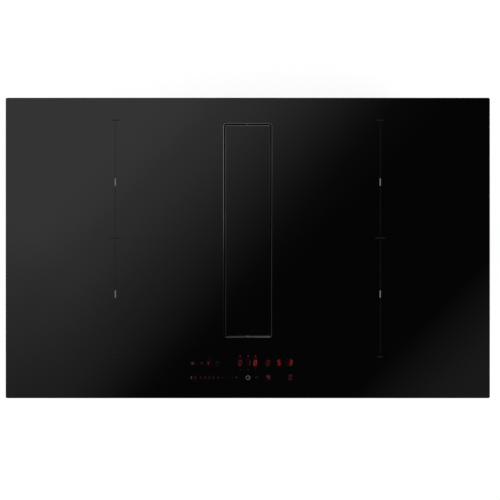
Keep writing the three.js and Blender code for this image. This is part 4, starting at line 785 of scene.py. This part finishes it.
# %% Glowing films
def glow_film(name, colour, unevenness=0.25):
    material, tree, shader = new_finish(name, Roughness=0.25)
    shader.inputs["Base Color"].default_value = grey(GLASS_BODY)
    shader.inputs["Emission Strength"].default_value = 1.0
    dimmer = (*(c * (1 - unevenness) for c in colour), 1.0)
    brighter = (*(c * (1 + unevenness) for c in colour), 1.0)
    light = blend_colours(tree, noise(tree, 500.0, 1.0), dimmer, brighter)
    set_input(tree, shader.inputs["Emission Color"], light)
    return material


red_full = glow_film("red_light_full", (0.215, 0.018, 0.016))
red_bright = glow_film("red_light_bright", (0.25, 0.012, 0.022))
red_medium = glow_film("red_light_medium", (0.115, 0.022, 0.032))
red_soft = glow_film("red_light_soft", (0.064, 0.010, 0.015))
red_dim = glow_film("red_light_dim", (0.052, 0.008, 0.009))
rose_light = glow_film("rose_light", (0.062, 0.028, 0.032))
rose_soft = glow_film("rose_light_soft", (0.040, 0.016, 0.019))
rose_faint = glow_film("rose_light_faint", (0.028, 0.012, 0.013))
white_light = glow_film("white_light", (0.080, 0.094, 0.083))
grey_mark = glow_film("grey_mark_light", (0.007, 0.008, 0.008))
print("ten lamp colours")

# %% [markdown]
# Light also spreads inside the glass, so each lit figure stands in a faint red haze. A film
# under the figure gives it: it is as smooth and dark as the glass, and its own light fades to
# nothing towards the rim of an ellipse. A lamp under real glass would be slower and would
# light the whole plate.

# %% Haze round the figures
HAZE_LEVELS = (GLASS_TOP + 0.000005, GLASS_TOP + 0.000015)
HAZE_COLOUR = (1.0, 0.02, 0.04, 1.0)
HAZE_PLATEAU = 1.8  # the larger, the wider the evenly lit middle
HAZE_UNEVENNESS = 0.15


def haze(name, x, y, width, depth, level):
    """A film about (x, y) in mm, as glossy as the glass, glowing red in its middle."""
    material, tree, shader = new_finish("haze_" + name, Roughness=0.035, IOR=1.5)
    shader.inputs["Base Color"].default_value = grey(GLASS_BODY)
    shader.inputs["Emission Color"].default_value = HAZE_COLOUR
    centred = add(tree, "Mapping", {"Vector": add(tree, "TexCoord").outputs["Object"]})
    centred.inputs["Location"].default_value = (-2 * x / width, -2 * y / depth, 0.0)
    centred.inputs["Scale"].default_value = (2 / (width * MM), 2 / (depth * MM), 0.0)
    fall = add(tree, "TexGradient", {"Vector": centred.outputs[0]}, gradient_type="SPHERICAL")
    dim, bright = (1 - HAZE_UNEVENNESS) * level, (1 + HAZE_UNEVENNESS) * level
    soft = between(tree, noise(tree, 250.0, 1.0), dim, bright)
    plateau = calc(tree, "MULTIPLY", fall.outputs["Fac"], HAZE_PLATEAU, clamp=True)
    set_input(tree, shader.inputs["Emission Strength"], calc(tree, "MULTIPLY", plateau, soft))
    flat_piece("haze_" + name, [oval_outline(x, y, width, depth, 32)], material, levels=HAZE_LEVELS)


print("a haze film is", round((HAZE_LEVELS[1] - HAZE_LEVELS[0]) / MM, 3), "mm thick")

# %% [markdown]
# The digits are seven-segment figures: each segment is a bar with pointed ends, and the whole
# figure leans to the right. Keeping the segments as a table of end points makes any digit a
# short string of letters.

# %% Seven-segment digits
DIGIT_HEIGHT, DIGIT_WIDTH, SEGMENT = 9.3, 5.1, 1.15
DIGIT_LEAN = math.tan(math.radians(9))
SEGMENT_ENDS = {
    "a": ((-1, 2), (1, 2)),
    "b": ((1, 2), (1, 0)),
    "c": ((1, 0), (1, -2)),
    "d": ((-1, -2), (1, -2)),
    "e": ((-1, -2), (-1, 0)),
    "f": ((-1, 0), (-1, 2)),
    "g": ((-1, 0), (1, 0)),
}
LIT_SEGMENTS = {0: "abcdef", 1: "bc", 3: "abcdg", 4: "bcfg", 5: "acdfg", 8: "abcdefg"}
SEGMENT_GAP = 0.15  # at each end of a segment


def segment_outline(letter, x, y):
    (ax, ay), (bx, by) = SEGMENT_ENDS[letter]
    half_width = (DIGIT_WIDTH - SEGMENT) / 2
    quarter = (DIGIT_HEIGHT - SEGMENT) / 4
    start = Vector((ax * half_width, ay * quarter))
    end = Vector((bx * half_width, by * quarter))
    along = (end - start).normalized()
    across = Vector((-along.y, along.x)) * SEGMENT / 2
    start, end = start + along * SEGMENT_GAP, end - along * SEGMENT_GAP
    tip = along * SEGMENT / 2
    one_side = [start, start + tip - across, end - tip - across]
    other_side = [end, end - tip + across, start + tip + across]
    return [(x + c.x + DIGIT_LEAN * c.y, y + c.y) for c in one_side + other_side]


def digit_piece(name, digits, finish):
    """digits are (figure, x, y)."""
    outlines = [segment_outline(s, x, y) for figure, x, y in digits for s in LIT_SEGMENTS[figure]]
    flat_piece(name, outlines, finish)


UPPER_ROW, LOWER_ROW = -196.9, -221.7
digit_piece("digit_full", [(8, 12.6, UPPER_ROW)], red_full)
digit_piece("digits_bright", [(5, 53.6, UPPER_ROW + 0.6), (3, 73.6, UPPER_ROW + 0.6)], red_bright)
digit_piece("digit_medium", [(4, 35.0, LOWER_ROW)], red_medium)
digit_piece("digit_soft", [(0, -13.2, UPPER_ROW)], red_soft)
digit_piece("digits_dim", [(0, 34.6, UPPER_ROW), (0, 73.0, LOWER_ROW)], red_dim)
digit_piece("digit_pale", [(1, 1.6, UPPER_ROW)], rose_soft)
# (name, x, width, y, depth, level)
FIGURE_HAZES = [
    ("timer_left", -12.8, 14.0, -194.8, 25.0, 0.0050),
    ("timer_middle", 0.9, 12.0, -194.8, 25.0, 0.0045),
    ("timer_right", 13.2, 10.8, -195.2, 27.0, 0.0190),
    ("upper_third", 34.6, 15.0, -196.9, 20.0, 0.0055),
    ("upper_fourth", 53.6, 12.5, -196.9, 18.0, 0.0085),
    ("upper_fifth", 71.4, 18.0, -196.9, 18.0, 0.0075),
    ("lower_first", 35.0, 14.5, LOWER_ROW, 18.0, 0.0060),
    ("lower_second", 73.0, 14.5, LOWER_ROW, 17.0, 0.0050),
]
for label, x, width, y, depth, level in FIGURE_HAZES:
    haze(label, x, y, width, depth, level)
print("eight digits and", len(FIGURE_HAZES), "hazes")

# %% [markdown]
# ## Dots, slider and power mark
#
# There are three dots above and below the timer digits, eleven short strokes for the power
# slider, and a small arrow. The power key is a white ring with a bar. All of them are flat
# pieces like the digits. A ring is a row of short blocks, which can also stop part of the way
# round.

# %% Small lights
def ring_outlines(x, y, radius, stroke, start=0.0, end=360.0, parts=24):
    """An open or closed ring, as a row of short blocks."""
    inner, outer = radius - stroke / 2, radius + stroke / 2
    outlines = []
    for i in range(parts):
        first = math.radians(start + (end - start) * i / parts)
        second = math.radians(start + (end - start) * (i + 1) / parts)
        corners = ((inner, first), (outer, first), (outer, second), (inner, second))
        outlines.append([(x + r * math.cos(turn), y + r * math.sin(turn)) for r, turn in corners])
    return outlines


DOT_COLUMNS = (-13.0, 0.7, 13.5)
DOT_ROW, MARK_ROW = -185.1, -208.8
timer_dots = [oval_outline(x, DOT_ROW, 2.3, 2.3) for x in DOT_COLUMNS]
flat_piece("timer_dots", timer_dots, red_soft)
timer_marks = [oval_outline(x, MARK_ROW, 1.6, 1.6) for x in DOT_COLUMNS]
flat_piece("timer_marks", timer_marks, rose_faint)
SLIDER_X = (-96.8, -89.8, -81.4, -73.0, -66.0, -58.6, -50.6, -42.7, -35.1, -26.9, -19.4)
slider_row = LOWER_ROW - 0.3
flat_piece("slider_first", [bar_outline(SLIDER_X[0], slider_row, 1.9, 3.9, 0.6)], rose_light)
flat_piece("slider_second", [bar_outline(SLIDER_X[1], slider_row, 1.4, 3.6, 0.4)], rose_soft)
slider_middle = [bar_outline(x, slider_row, 1.3, 3.7, 0.4) for x in SLIDER_X[2:7]]
flat_piece("slider_middle", slider_middle, rose_faint)
slider_far = [bar_outline(x, slider_row, 1.3, 1.3, 0.4) for x in SLIDER_X[7:10]]
slider_far.append(bar_outline(SLIDER_X[10], LOWER_ROW, 2.2, 2.4, 0.6))
flat_piece("slider_far", slider_far, rose_faint)
haze("slider_near", -93.0, LOWER_ROW - 1.5, 18.0, 14.0, 0.0055)
haze("slider_middle", -68.0, LOWER_ROW, 38.0, 12.0, 0.0026)
POWER_RADIUS, POWER_STROKE = 3.3, 1.0
power_row = LOWER_ROW - 0.6
power_mark = ring_outlines(0.6, power_row, POWER_RADIUS, POWER_STROKE)
power_mark.append(bar_outline(1.3, power_row + 0.2, 0.6, 2.4, 0.2))
flat_piece("power_mark", power_mark, white_light)
arrow = [
    [(12.9, -223.0), (14.0, -223.0), (15.2, -220.6), (14.6, -220.0)],
    [(15.2, -220.6), (16.4, -223.0), (17.5, -223.0), (15.8, -220.0)],
]
flat_piece("up_arrow", arrow, rose_faint)
print(len(SLIDER_X), "slider strokes")

# %% [markdown]
# At the left of the figures stand four signs: a pan with a lid, two bars for a pause, a stroke
# with a dot for the boost, and an open arc with a hand for the timer. They are the generic signs
# of any hob, and only a few millimetres high, so bars and arcs are all that they need.

# %% Function signs
SIGN_ROW = -197.6
PAN_X, PAUSE_X, BOOST_X = -94.8, -79.0, -67.8
TIMER_X, TIMER_HAND_X = -51.2, -48.0
timer_row = SIGN_ROW - 0.4
pan_sign = [
    bar_outline(PAN_X, SIGN_ROW - 0.8, 4.6, 2.0, 0.7),
    bar_outline(PAN_X, SIGN_ROW + 1.0, 5.4, 0.7, 0.3),
    bar_outline(PAN_X, SIGN_ROW + 1.9, 1.1, 0.7, 0.3),
]
flat_piece("pan_sign", pan_sign, rose_soft)
pause_sign = [bar_outline(PAUSE_X + dx, SIGN_ROW, 0.9, 3.4, 0.3) for dx in (-1.2, 1.2)]
flat_piece("pause_sign", pause_sign, rose_faint)
boost_stroke = bar_outline(BOOST_X, SIGN_ROW + 0.5, 1.5, 2.9, 0.5)
boost_dot = bar_outline(BOOST_X, SIGN_ROW - 2.0, 1.5, 1.2, 0.4)
flat_piece("boost_sign", [boost_stroke, boost_dot], rose_light)
timer_sign = ring_outlines(TIMER_X, timer_row, 3.3, 0.8, 55.0, 250.0, 18)
timer_sign.append(bar_outline(TIMER_HAND_X, timer_row, 0.8, 2.2, 0.3))
flat_piece("timer_sign", timer_sign, grey_mark)
haze("pan_sign", -93.6, SIGN_ROW, 15.0, 11.0, 0.0050)
haze("pause_sign", -80.6, SIGN_ROW, 13.0, 10.0, 0.0014)
haze("boost_sign", -65.0, SIGN_ROW + 2.6, 13.0, 19.0, 0.0065)
print("four function signs")

# %% [markdown]
# ## Trim at the flap
#
# The flap is a strip of the same glass, glued to a plastic backplate. In the gap at its front
# end the picture shows a light bar instead of darkness, with a brighter spot in the middle: a
# thin steel strip under the glass's end, and the cap of the pivot pin. Both ride on the flap.
# The strip's grey is a fade, dark at its left end and lighter towards its right: painted light.
# The cap's end is ground flat, which makes it paler and matt.

# %% Front strip and pivot cap
STRIP_PAINTED_LIGHT_GREYS = (0.052, 0.240)
STRIP_STRETCH = 14.0  # about one unit of the pattern along the strip
steel_strip_painted_light, strip_light_tree, strip_light_shader = new_finish("steel_strip_with_painted_light", Roughness=0.5)
along_strip = split(strip_light_tree, own_place(strip_light_tree, (STRIP_STRETCH, 1.0, 1.0)))["X"]
# painted light: the strip's grey rises from its left end to its right
painted_light_grey = between(strip_light_tree, calc(strip_light_tree, "ADD", along_strip, 0.5), *STRIP_PAINTED_LIGHT_GREYS)
blotches = between(strip_light_tree, noise(strip_light_tree, 900.0), 0.8, 1.2)
painted_light_grey = calc(strip_light_tree, "MULTIPLY", painted_light_grey, blotches)
set_input(strip_light_tree, strip_light_shader.inputs["Base Color"], painted_light_grey)
set_input(strip_light_tree, strip_light_shader.inputs["Specular IOR Level"], 0.1)
ground_steel, ground_tree, ground_shader = new_finish("ground_steel_cap", Roughness=0.5)
ground_tone = blend_colours(ground_tree, noise(ground_tree, 900.0), grey(0.50), grey(0.65))
set_input(ground_tree, ground_shader.inputs["Base Color"], ground_tone)
STRIP_X, STRIP_WIDTH, STRIP_DEPTH = 0.7, 73.0, 6.0
CAP_DIAMETER, CAP_SET_BACK = 1.7, 0.9
STRIP_SHEET, CAP_HEIGHT, GLUE_GAP = 0.0004, 0.0012, 0.00005  # in metres
pin_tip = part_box("flap_pin_front")[0].y / MM
strip_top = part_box("flap_glass")[0].z - GLUE_GAP
strip_outline = bar_outline(STRIP_X, pin_tip + STRIP_DEPTH / 2, STRIP_WIDTH, STRIP_DEPTH, 1.0)
strip_levels = (strip_top - STRIP_SHEET, strip_top)
flat_piece("front_gap_strip", [strip_outline], steel_strip_painted_light, "flap", strip_levels)
cap_outline = oval_outline(0.0, pin_tip + CAP_SET_BACK, CAP_DIAMETER, CAP_DIAMETER, 16)
cap_levels = (strip_top, strip_top + CAP_HEIGHT)
flat_piece("pivot_cap", [cap_outline], ground_steel, "flap", cap_levels)
print("strip from", round(pin_tip, 1), "mm")

# %% [markdown]
# ## Screws
#
# All sheet and plastic parts are held by small pan-head screws with a cross recess. A plain
# dome would do from afar, but the recess catches the light, so it is modelled: rings of points
# go up over the dome, turn into a cross, and the cross is sunk. One set of points is turned and
# copied to every place, and all the heads of one part are one object.

# %% Screw heads
CROSS_ARM, CROSS_HALF = 0.56, 0.15
DOME = ((1.0, 0.0), (1.0, 0.3), (0.93, 0.62), (0.8, 0.85), (0.66, 1.0))  # (radius, height)
RECESS_FLOOR = 0.4  # share of the head's height


def cross_outline(arm, half):
    """The recess for a head of radius 1: 24 points, anticlockwise."""
    middle = (arm + half) / 2
    quarter = [(arm, -half), (arm, 0.0), (arm, half), (middle, half), (half, half), (half, middle)]
    outline = []
    for _ in range(4):
        outline += quarter
        quarter = [(-y, x) for x, y in quarter]
    return outline


def head_shape(radius, height):
    cross = cross_outline(CROSS_ARM, CROSS_HALF)
    angles = [math.atan2(y, x) for x, y in cross]
    rings = []
    for share, level in DOME:
        reach = radius * share
        rings.append([(reach * math.cos(a), reach * math.sin(a), height * level) for a in angles])
    for level in (1.0, RECESS_FLOOR):
        rings.append([(radius * x, radius * y, height * level) for x, y in cross])
    return loft(rings)


def screws(name, places, axis, finish, body="cooktop", radius=2.8, height=1.8):
    """Heads at places in mm, standing out along axis, each turned by its own angle."""
    shape, shape_faces = head_shape(radius, height)
    turn = Vector((0, 0, 1)).rotation_difference(Vector(axis)).to_matrix()
    points, faces = [], []
    dice = random.Random(name)
    for place in places:
        spin = Matrix.Rotation(dice.uniform(0, math.pi / 2), 3, "Z")
        head = [(turn @ spin @ Vector(p) + Vector(place)) * MM for p in shape]
        gather(points, faces, head, shape_faces)
    make_piece(name, points, faces, finish, body)


def box_mm(name):
    low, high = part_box(name)
    return [v / MM for v in low], [v / MM for v in high]


print("a head has", len(head_shape(1, 1)[0]), "points")

# %% [markdown]
# The two halves of the air box are screwed together through the flange round their joint, the
# duct spigot through its own flange, and the sheet casing along its lower edge. The places are
# spread evenly between the corners, clear of the spigot.

# %% Screws on the outside
FLANGE_WIDTH, FLANGE_SHEET = 7.0, 3.0
FLANGE_END_ROOM = 8.0  # between a flange's corner and its row of screws
SPIGOT_GAP, SPIGOT_EDGE = 0.3, 4.0  # to the air box's wall, and from the edge to the screws
CASING_SCREW_RISE, CASING_END_ROOM, GLAND_ROOM = 4.5, 20.0, 20.0
COVER_END_ROOM = 7.0
UP, DOWN, RIGHT, LEFT, BACK, FRONT = (
    (0, 0, 1), (0, 0, -1), (1, 0, 0), (-1, 0, 0), (0, 1, 0), (0, -1, 0)
)


def spread(low, high, count, room=0.0):
    """Places between two ends, evenly, with half a step and some room at each end."""
    low, high = low + room, high - room
    return [low + (high - low) * (i + 0.5) / count for i in range(count)]


cover_low, cover_high = box_mm("airbox_cover")
spigot_low, spigot_high = box_mm("outlet_spigot")
flange_top = cover_low[2] + FLANGE_SHEET
left_x, right_x = cover_low[0] + FLANGE_WIDTH / 2, cover_high[0] - FLANGE_WIDTH / 2
front_y, back_y = cover_low[1] + FLANGE_WIDTH / 2, cover_high[1] - FLANGE_WIDTH / 2
front_row = spread(cover_low[0], cover_high[0], 5, FLANGE_END_ROOM)
side_row = spread(front_y, back_y, 4, FLANGE_END_ROOM)
back_row = spread(cover_low[0], spigot_low[0], 2, FLANGE_END_ROOM)
flange_places = [(x, front_y, flange_top) for x in front_row]
flange_places += [(x, y, flange_top) for x in (left_x, right_x) for y in side_row]
flange_places += [(x, back_y, flange_top) for x in back_row]
screws("airbox_flange_screws", flange_places, UP, zinc_plate, radius=2.7)

spigot_back = cover_high[1] - FLANGE_WIDTH + SPIGOT_GAP + FLANGE_SHEET
top_z, foot_z = spigot_high[2] - SPIGOT_EDGE, spigot_low[2] + SPIGOT_EDGE
side_x = (spigot_low[0] + SPIGOT_EDGE, spigot_high[0] - SPIGOT_EDGE)
spigot_row = spread(spigot_low[0], spigot_high[0], 3)
spigot_places = [(x, spigot_back, z) for x in spigot_row for z in (top_z, foot_z)]
spigot_places += [(x, spigot_back, (top_z + foot_z) / 2) for x in side_x]
screws("spigot_screws", spigot_places, BACK, zinc_plate, radius=2.6)
print(len(flange_places), "screws in the flange,", len(spigot_places), "in the spigot")

casing_low, casing_high = box_mm("casing_walls")
gland_low, gland_high = box_mm("cable_gland")
gland_x = (gland_low[0] + gland_high[0]) / 2
screw_z = casing_low[2] + CASING_SCREW_RISE
front_row = spread(casing_low[0], casing_high[0], 6, CASING_END_ROOM)
back_row = [x for x in front_row if abs(x - gland_x) > GLAND_ROOM]
side_row = (-210.0, -90.0, 0.0, 90.0, 210.0)
casing_sides = (
    ("front", FRONT, [(x, casing_low[1], screw_z) for x in front_row]),
    ("back", BACK, [(x, casing_high[1], screw_z) for x in back_row]),
    ("left", LEFT, [(casing_low[0], y, screw_z) for y in side_row]),
    ("right", RIGHT, [(casing_high[0], y, screw_z) for y in side_row]),
)
for side, out, places in casing_sides:
    screws("casing_screws_" + side, places, out, zinc_plate)
    print(len(places), "screws in the casing's", side)
terminal_low, terminal_high = box_mm("terminal_cover")
terminal_x = (terminal_low[0] + terminal_high[0]) / 2
terminal_row = (terminal_low[1] + COVER_END_ROOM, terminal_high[1] - COVER_END_ROOM)
terminal_places = [(terminal_x, y, terminal_low[2]) for y in terminal_row]
screws("terminal_cover_screws", terminal_places, DOWN, zinc_plate)

# %% [markdown]
# ## Ribs of the air box
#
# A plastic box this large would drum and warp with flat walls, so the mould gives it thin ribs
# that stand on the flange and fade out towards the top. They stay inside the flange's edge, so
# the box isn't larger than its solids. Each rib is its side view, lofted to its thickness.

# %% Stiffening ribs
RIB_THICKNESS, RIB_DEPTH, RIB_EDGE, RIB_SINK = 1.6, 5.6, 1.0, 0.4
RIB_END_ROOM, SPIGOT_ROOM = 12.0, 6.0
POST_RISE = 1.7  # of the posts under the fan scroll, above the base's flange


def wall_rib(foot, out, z_profile):
    """A rib at foot (x, y), which stands out along out; z_profile is (distance out, z)."""
    rings = []
    for half in (RIB_THICKNESS / 2, -RIB_THICKNESS / 2):
        x, y = foot[0] - out[1] * half, foot[1] + out[0] * half
        rings.append([((x + out[0] * d) * MM, (y + out[1] * d) * MM, z * MM) for d, z in z_profile])
    return loft(rings)


def rib_row(name, feet, z_profile):
    points, faces = [], []
    for foot, out in feet:
        gather(points, faces, *wall_rib(foot, out, z_profile))
    make_piece(name, points, faces, black_plastic, "cooktop")


wall_left, wall_right = cover_low[0] + FLANGE_WIDTH, cover_high[0] - FLANGE_WIDTH
wall_front, wall_back = cover_low[1] + FLANGE_WIDTH, cover_high[1] - FLANGE_WIDTH
rib_side_row = spread(wall_front, wall_back, 9, RIB_END_ROOM)
rib_back_row = spread(wall_left + RIB_END_ROOM, spigot_low[0] - SPIGOT_ROOM, 5)
rib_feet = [((x, wall_front), FRONT) for x in spread(wall_left, wall_right, 10, RIB_END_ROOM)]
rib_feet += [((wall_left, y), LEFT) for y in rib_side_row]
rib_feet += [((wall_right, y), RIGHT) for y in rib_side_row]
rib_feet += [((x, wall_back), BACK) for x in rib_back_row]
cover_profile = [
    (-RIB_SINK, flange_top),
    (RIB_DEPTH, flange_top),
    (RIB_DEPTH, flange_top + 10),
    (RIB_EDGE, flange_top + 62),
    (RIB_EDGE, cover_high[2] - 9),
    (-RIB_SINK, cover_high[2] - 6),
]
base_flange = box_mm("airbox_base")[1][2] - POST_RISE - FLANGE_SHEET
base_profile = [
    (-RIB_SINK, base_flange),
    (-RIB_SINK, 6.0),
    (RIB_EDGE, 9.0),
    (RIB_EDGE, base_flange - 18),
    (RIB_DEPTH, base_flange - 5),
    (RIB_DEPTH, base_flange),
]
rib_row("airbox_cover_ribs", rib_feet, cover_profile)
rib_row("airbox_base_ribs", rib_feet, base_profile)
print(len(rib_feet), "ribs on the cover and on the base")

# %% [markdown]
# ## Expanded-metal grease packs
#
# Grease is caught by layers of expanded aluminium: foil that was slit and pulled into a net of
# diamonds. A texture with holes would look flat, because the strands stand askew and one sees
# through several layers. So each strand is a thin zigzag ribbon. Neighbours have opposite
# zigzags and touch at their corners, which is how a slit and stretched sheet looks. A folded
# edge strip holds the three layers together.

# %% Grease packs
DIAMOND_LENGTH, DIAMOND_HEIGHT = 10.0, 5.2
STRAND_WIDTH, STRAND_THICKNESS, STRAND_TILT = 0.9, 0.4, 0.45
LAYER_SHIFTS = (0.0, 2.1, -1.7)  # one for each layer, so that their diamonds don't line up
LAYER_INSET, LAYER_STEP, FOOT_GAP, END_GAP = 1.4, 0.4, 0.2, 1.0
EDGE_LIP, EDGE_SHEET = 3.5, 0.5


def strand_ribbon(x, z, y_low, y_high, shift, phase):
    """One zigzag ribbon about height z, in mm, with a ring of four points at each corner."""
    rise, half, out = DIAMOND_HEIGHT / 4, DIAMOND_LENGTH / 2, STRAND_THICKNESS / 2
    foot_x, top_x = x - STRAND_TILT, x + STRAND_TILT
    rings = []
    for i in range(int((y_high - y_low) / half) + 1):
        y = min(max(y_low + i * half + shift, y_low), y_high)
        middle = z + (rise if (i + phase) % 2 else -rise)
        low, high = middle - STRAND_WIDTH / 2, middle + STRAND_WIDTH / 2
        near = [(foot_x - out, y, low), (top_x - out, y, high)]
        far = [(top_x + out, y, high), (foot_x + out, y, low)]
        rings.append(near + far)
    return loft(rings)


def grease_pack(label):
    low, high = box_mm("filter_mesh_" + label)
    points, faces = [], []
    reach = DIAMOND_HEIGHT / 4 + STRAND_WIDTH / 2
    inner, outer = low[0] + LAYER_INSET, high[0] - LAYER_INSET
    for layer, shift in enumerate(LAYER_SHIFTS):
        x = inner + (outer - inner) * layer / (len(LAYER_SHIFTS) - 1)
        z = low[2] + reach + FOOT_GAP + LAYER_STEP * layer
        row = 0
        while z + reach < high[2]:
            strand = strand_ribbon(x, z, low[1] + END_GAP, high[1] - END_GAP, shift, row)
            gather(points, faces, *strand)
            z += DIAMOND_HEIGHT / 2
            row += 1
    y_mid, z_mid = (low[1] + high[1]) / 2, (low[2] + high[2]) / 2
    length, height = high[1] - low[1], high[2] - low[2]
    lips = (
        (y_mid, low[2] + EDGE_LIP / 2, length, EDGE_LIP),
        (y_mid, high[2] - EDGE_LIP / 2, length, EDGE_LIP),
        (low[1] + EDGE_LIP / 2, z_mid, EDGE_LIP, height - 2 * EDGE_LIP),
        (high[1] - EDGE_LIP / 2, z_mid, EDGE_LIP, height - 2 * EDGE_LIP),
    )
    for sheet in ((low[0], low[0] + EDGE_SHEET), (high[0] - EDGE_SHEET, high[0])):
        for lip in lips:
            gather(points, faces, *loft([[(x, *p) for p in bar_outline(*lip)] for x in sheet]))
    metres = [tuple(v * MM for v in point) for point in points]
    name = "grease_pack_" + label
    pack = make_piece(name, metres, faces, aluminium, "grease_filter")
    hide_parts("filter_mesh_" + label)
    return len(faces)


print(grease_pack("left") + grease_pack("right"), "faces in both packs")

# %% [markdown]
# ## Windings
#
# Each cooking zone has a flat coil, wound in two layers from stranded copper wire. The CAD
# model has a plain ring in its place. Here the wire is a tube that is swept along a spiral of
# rounded rectangles, as wide as the ring. The twist of the strands would need millions of
# faces, so it is a slanting stripe on the tube's own map, which runs along and round the wire.
# The darker bands of that stripe are painted shade in the hollows between the strands.

# %% Stranded wire finish
stranded, strand_tree, strand_shader = new_finish("stranded_copper_wire", Metallic=1.0)
strand_shader.inputs["Coat Weight"].default_value = 0.5
strand_shader.inputs["Coat Roughness"].default_value = 0.15
wire_map = add(strand_tree, "UVMap", uv_map="wire")
twist = add(strand_tree, "Mapping", {"Vector": wire_map.outputs["UV"], "Scale": (1.0, 5.0, 1.0)})
wave = {"Vector": twist.outputs["Vector"], "Scale": 0.32}
stripes = add(strand_tree, "TexWave", wave, bands_direction="DIAGONAL").outputs["Fac"]
# painted shade: the hollows between strands get a darker copper
painted_shade_hollow, crown = (0.28, 0.095, 0.04, 1), (0.58, 0.26, 0.13, 1)
strand_colour = blend_colours(strand_tree, stripes, painted_shade_hollow, crown)
strand_roughness = between(strand_tree, noise(strand_tree, 300.0), 0.25, 0.4)
paint(strand_tree, strand_shader, strand_colour, strand_roughness)
raise_surface(strand_tree, strand_shader, stripes, 0.5, 0.0004)
print("stranded wire ready")

# %% [markdown]
# The wire's path goes one turn inwards in as many steps as the outline of a rounded rectangle
# has points, and its corners get tighter on the way. The two layers of a winding touch. The
# tube's map is written with its faces, so that the stripes follow the wire.

# %% Wind the coils
WIRE_RADIUS, WIRE_PITCH, WIRE_SIDES = 1.5, 3.1, 8
CORNER_STEPS = 5
COIL_HOLE, RING_CORNER, HOLE_CORNER = 66.0, 34.0, 14.0


def spiral_path(width, depth, ring_width):
    """Points from the outer edge inwards, about the coil's middle, in mm."""
    turns = int((ring_width - 2 * WIRE_RADIUS) / WIRE_PITCH)
    per_turn = 4 * (CORNER_STEPS + 1)
    path = []
    for step in range(turns * per_turn + 1):
        inset = WIRE_RADIUS + WIRE_PITCH * step / per_turn
        corner = RING_CORNER - (RING_CORNER - HOLE_CORNER) * inset / ring_width
        outline = bar_outline(0, 0, width - 2 * inset, depth - 2 * inset, corner, CORNER_STEPS)
        path.append(outline[step % per_turn])
    return path, turns


def wire_tube(path, height):
    """The rings of a round tube along a flat path in mm, and how far along each one is."""
    rings, places = [], []
    along = 0.0
    for i, (x, y) in enumerate(path):
        before, after = path[max(i - 1, 0)], path[min(i + 1, len(path) - 1)]
        heading = Vector((after[0] - before[0], after[1] - before[1])).normalized()
        if i:
            along += math.dist(path[i - 1], path[i])
        ring = []
        for side in range(WIRE_SIDES):
            angle = 2 * math.pi * side / WIRE_SIDES
            out, down = WIRE_RADIUS * math.cos(angle), WIRE_RADIUS * math.sin(angle)
            point = (x + heading.y * out, y - heading.x * out, height - down)
            ring.append(tuple(v * MM for v in point))
        rings.append(ring)
        places.append(along)
    return rings, places


def face_marks(face, places):
    """Where a face's corners lie on the map: along the wire in mm, and round it from 1 to 0."""
    if len(face) == WIRE_SIDES:
        return [(0.0, 0.0)] * WIRE_SIDES
    rounds = [v % WIRE_SIDES for v in face]
    if 0 in rounds and WIRE_SIDES - 1 in rounds:
        rounds = [r or WIRE_SIDES for r in rounds]
    return [(places[v // WIRE_SIDES], 1 - r / WIRE_SIDES) for v, r in zip(face, rounds)]


def wind_coil(node_name):
    low, high = box_mm(node_name)
    middle_x, middle_y = (low[0] + high[0]) / 2, (low[1] + high[1]) / 2
    width, depth = high[0] - low[0], high[1] - low[1]
    path, turns = spiral_path(width, depth, (width - COIL_HOLE) / 2)
    path = [(x + middle_x, y + middle_y) for x, y in path]
    points, faces, marks = [], [], []
    for height in (low[2] + WIRE_RADIUS, high[2] - WIRE_RADIUS):
        rings, places = wire_tube(path, height)
        tube_points, tube_faces = loft(rings)
        for face in tube_faces:
            marks += face_marks(face, places)
        gather(points, faces, tube_points, tube_faces)
    name = node_name.replace("coil_", "winding_")
    winding = make_piece(name, points, faces, stranded, "cooktop", smooth=True)
    layer = winding.data.uv_layers.new(name="wire")
    for loop, mark in zip(layer.data, marks):
        loop.uv = mark
    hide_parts(node_name)
    return turns


for label in ("left_rear", "left_front", "right_rear", "right_front"):
    print("coil", label, "has", 2 * wind_coil("coil_" + label), "turns")
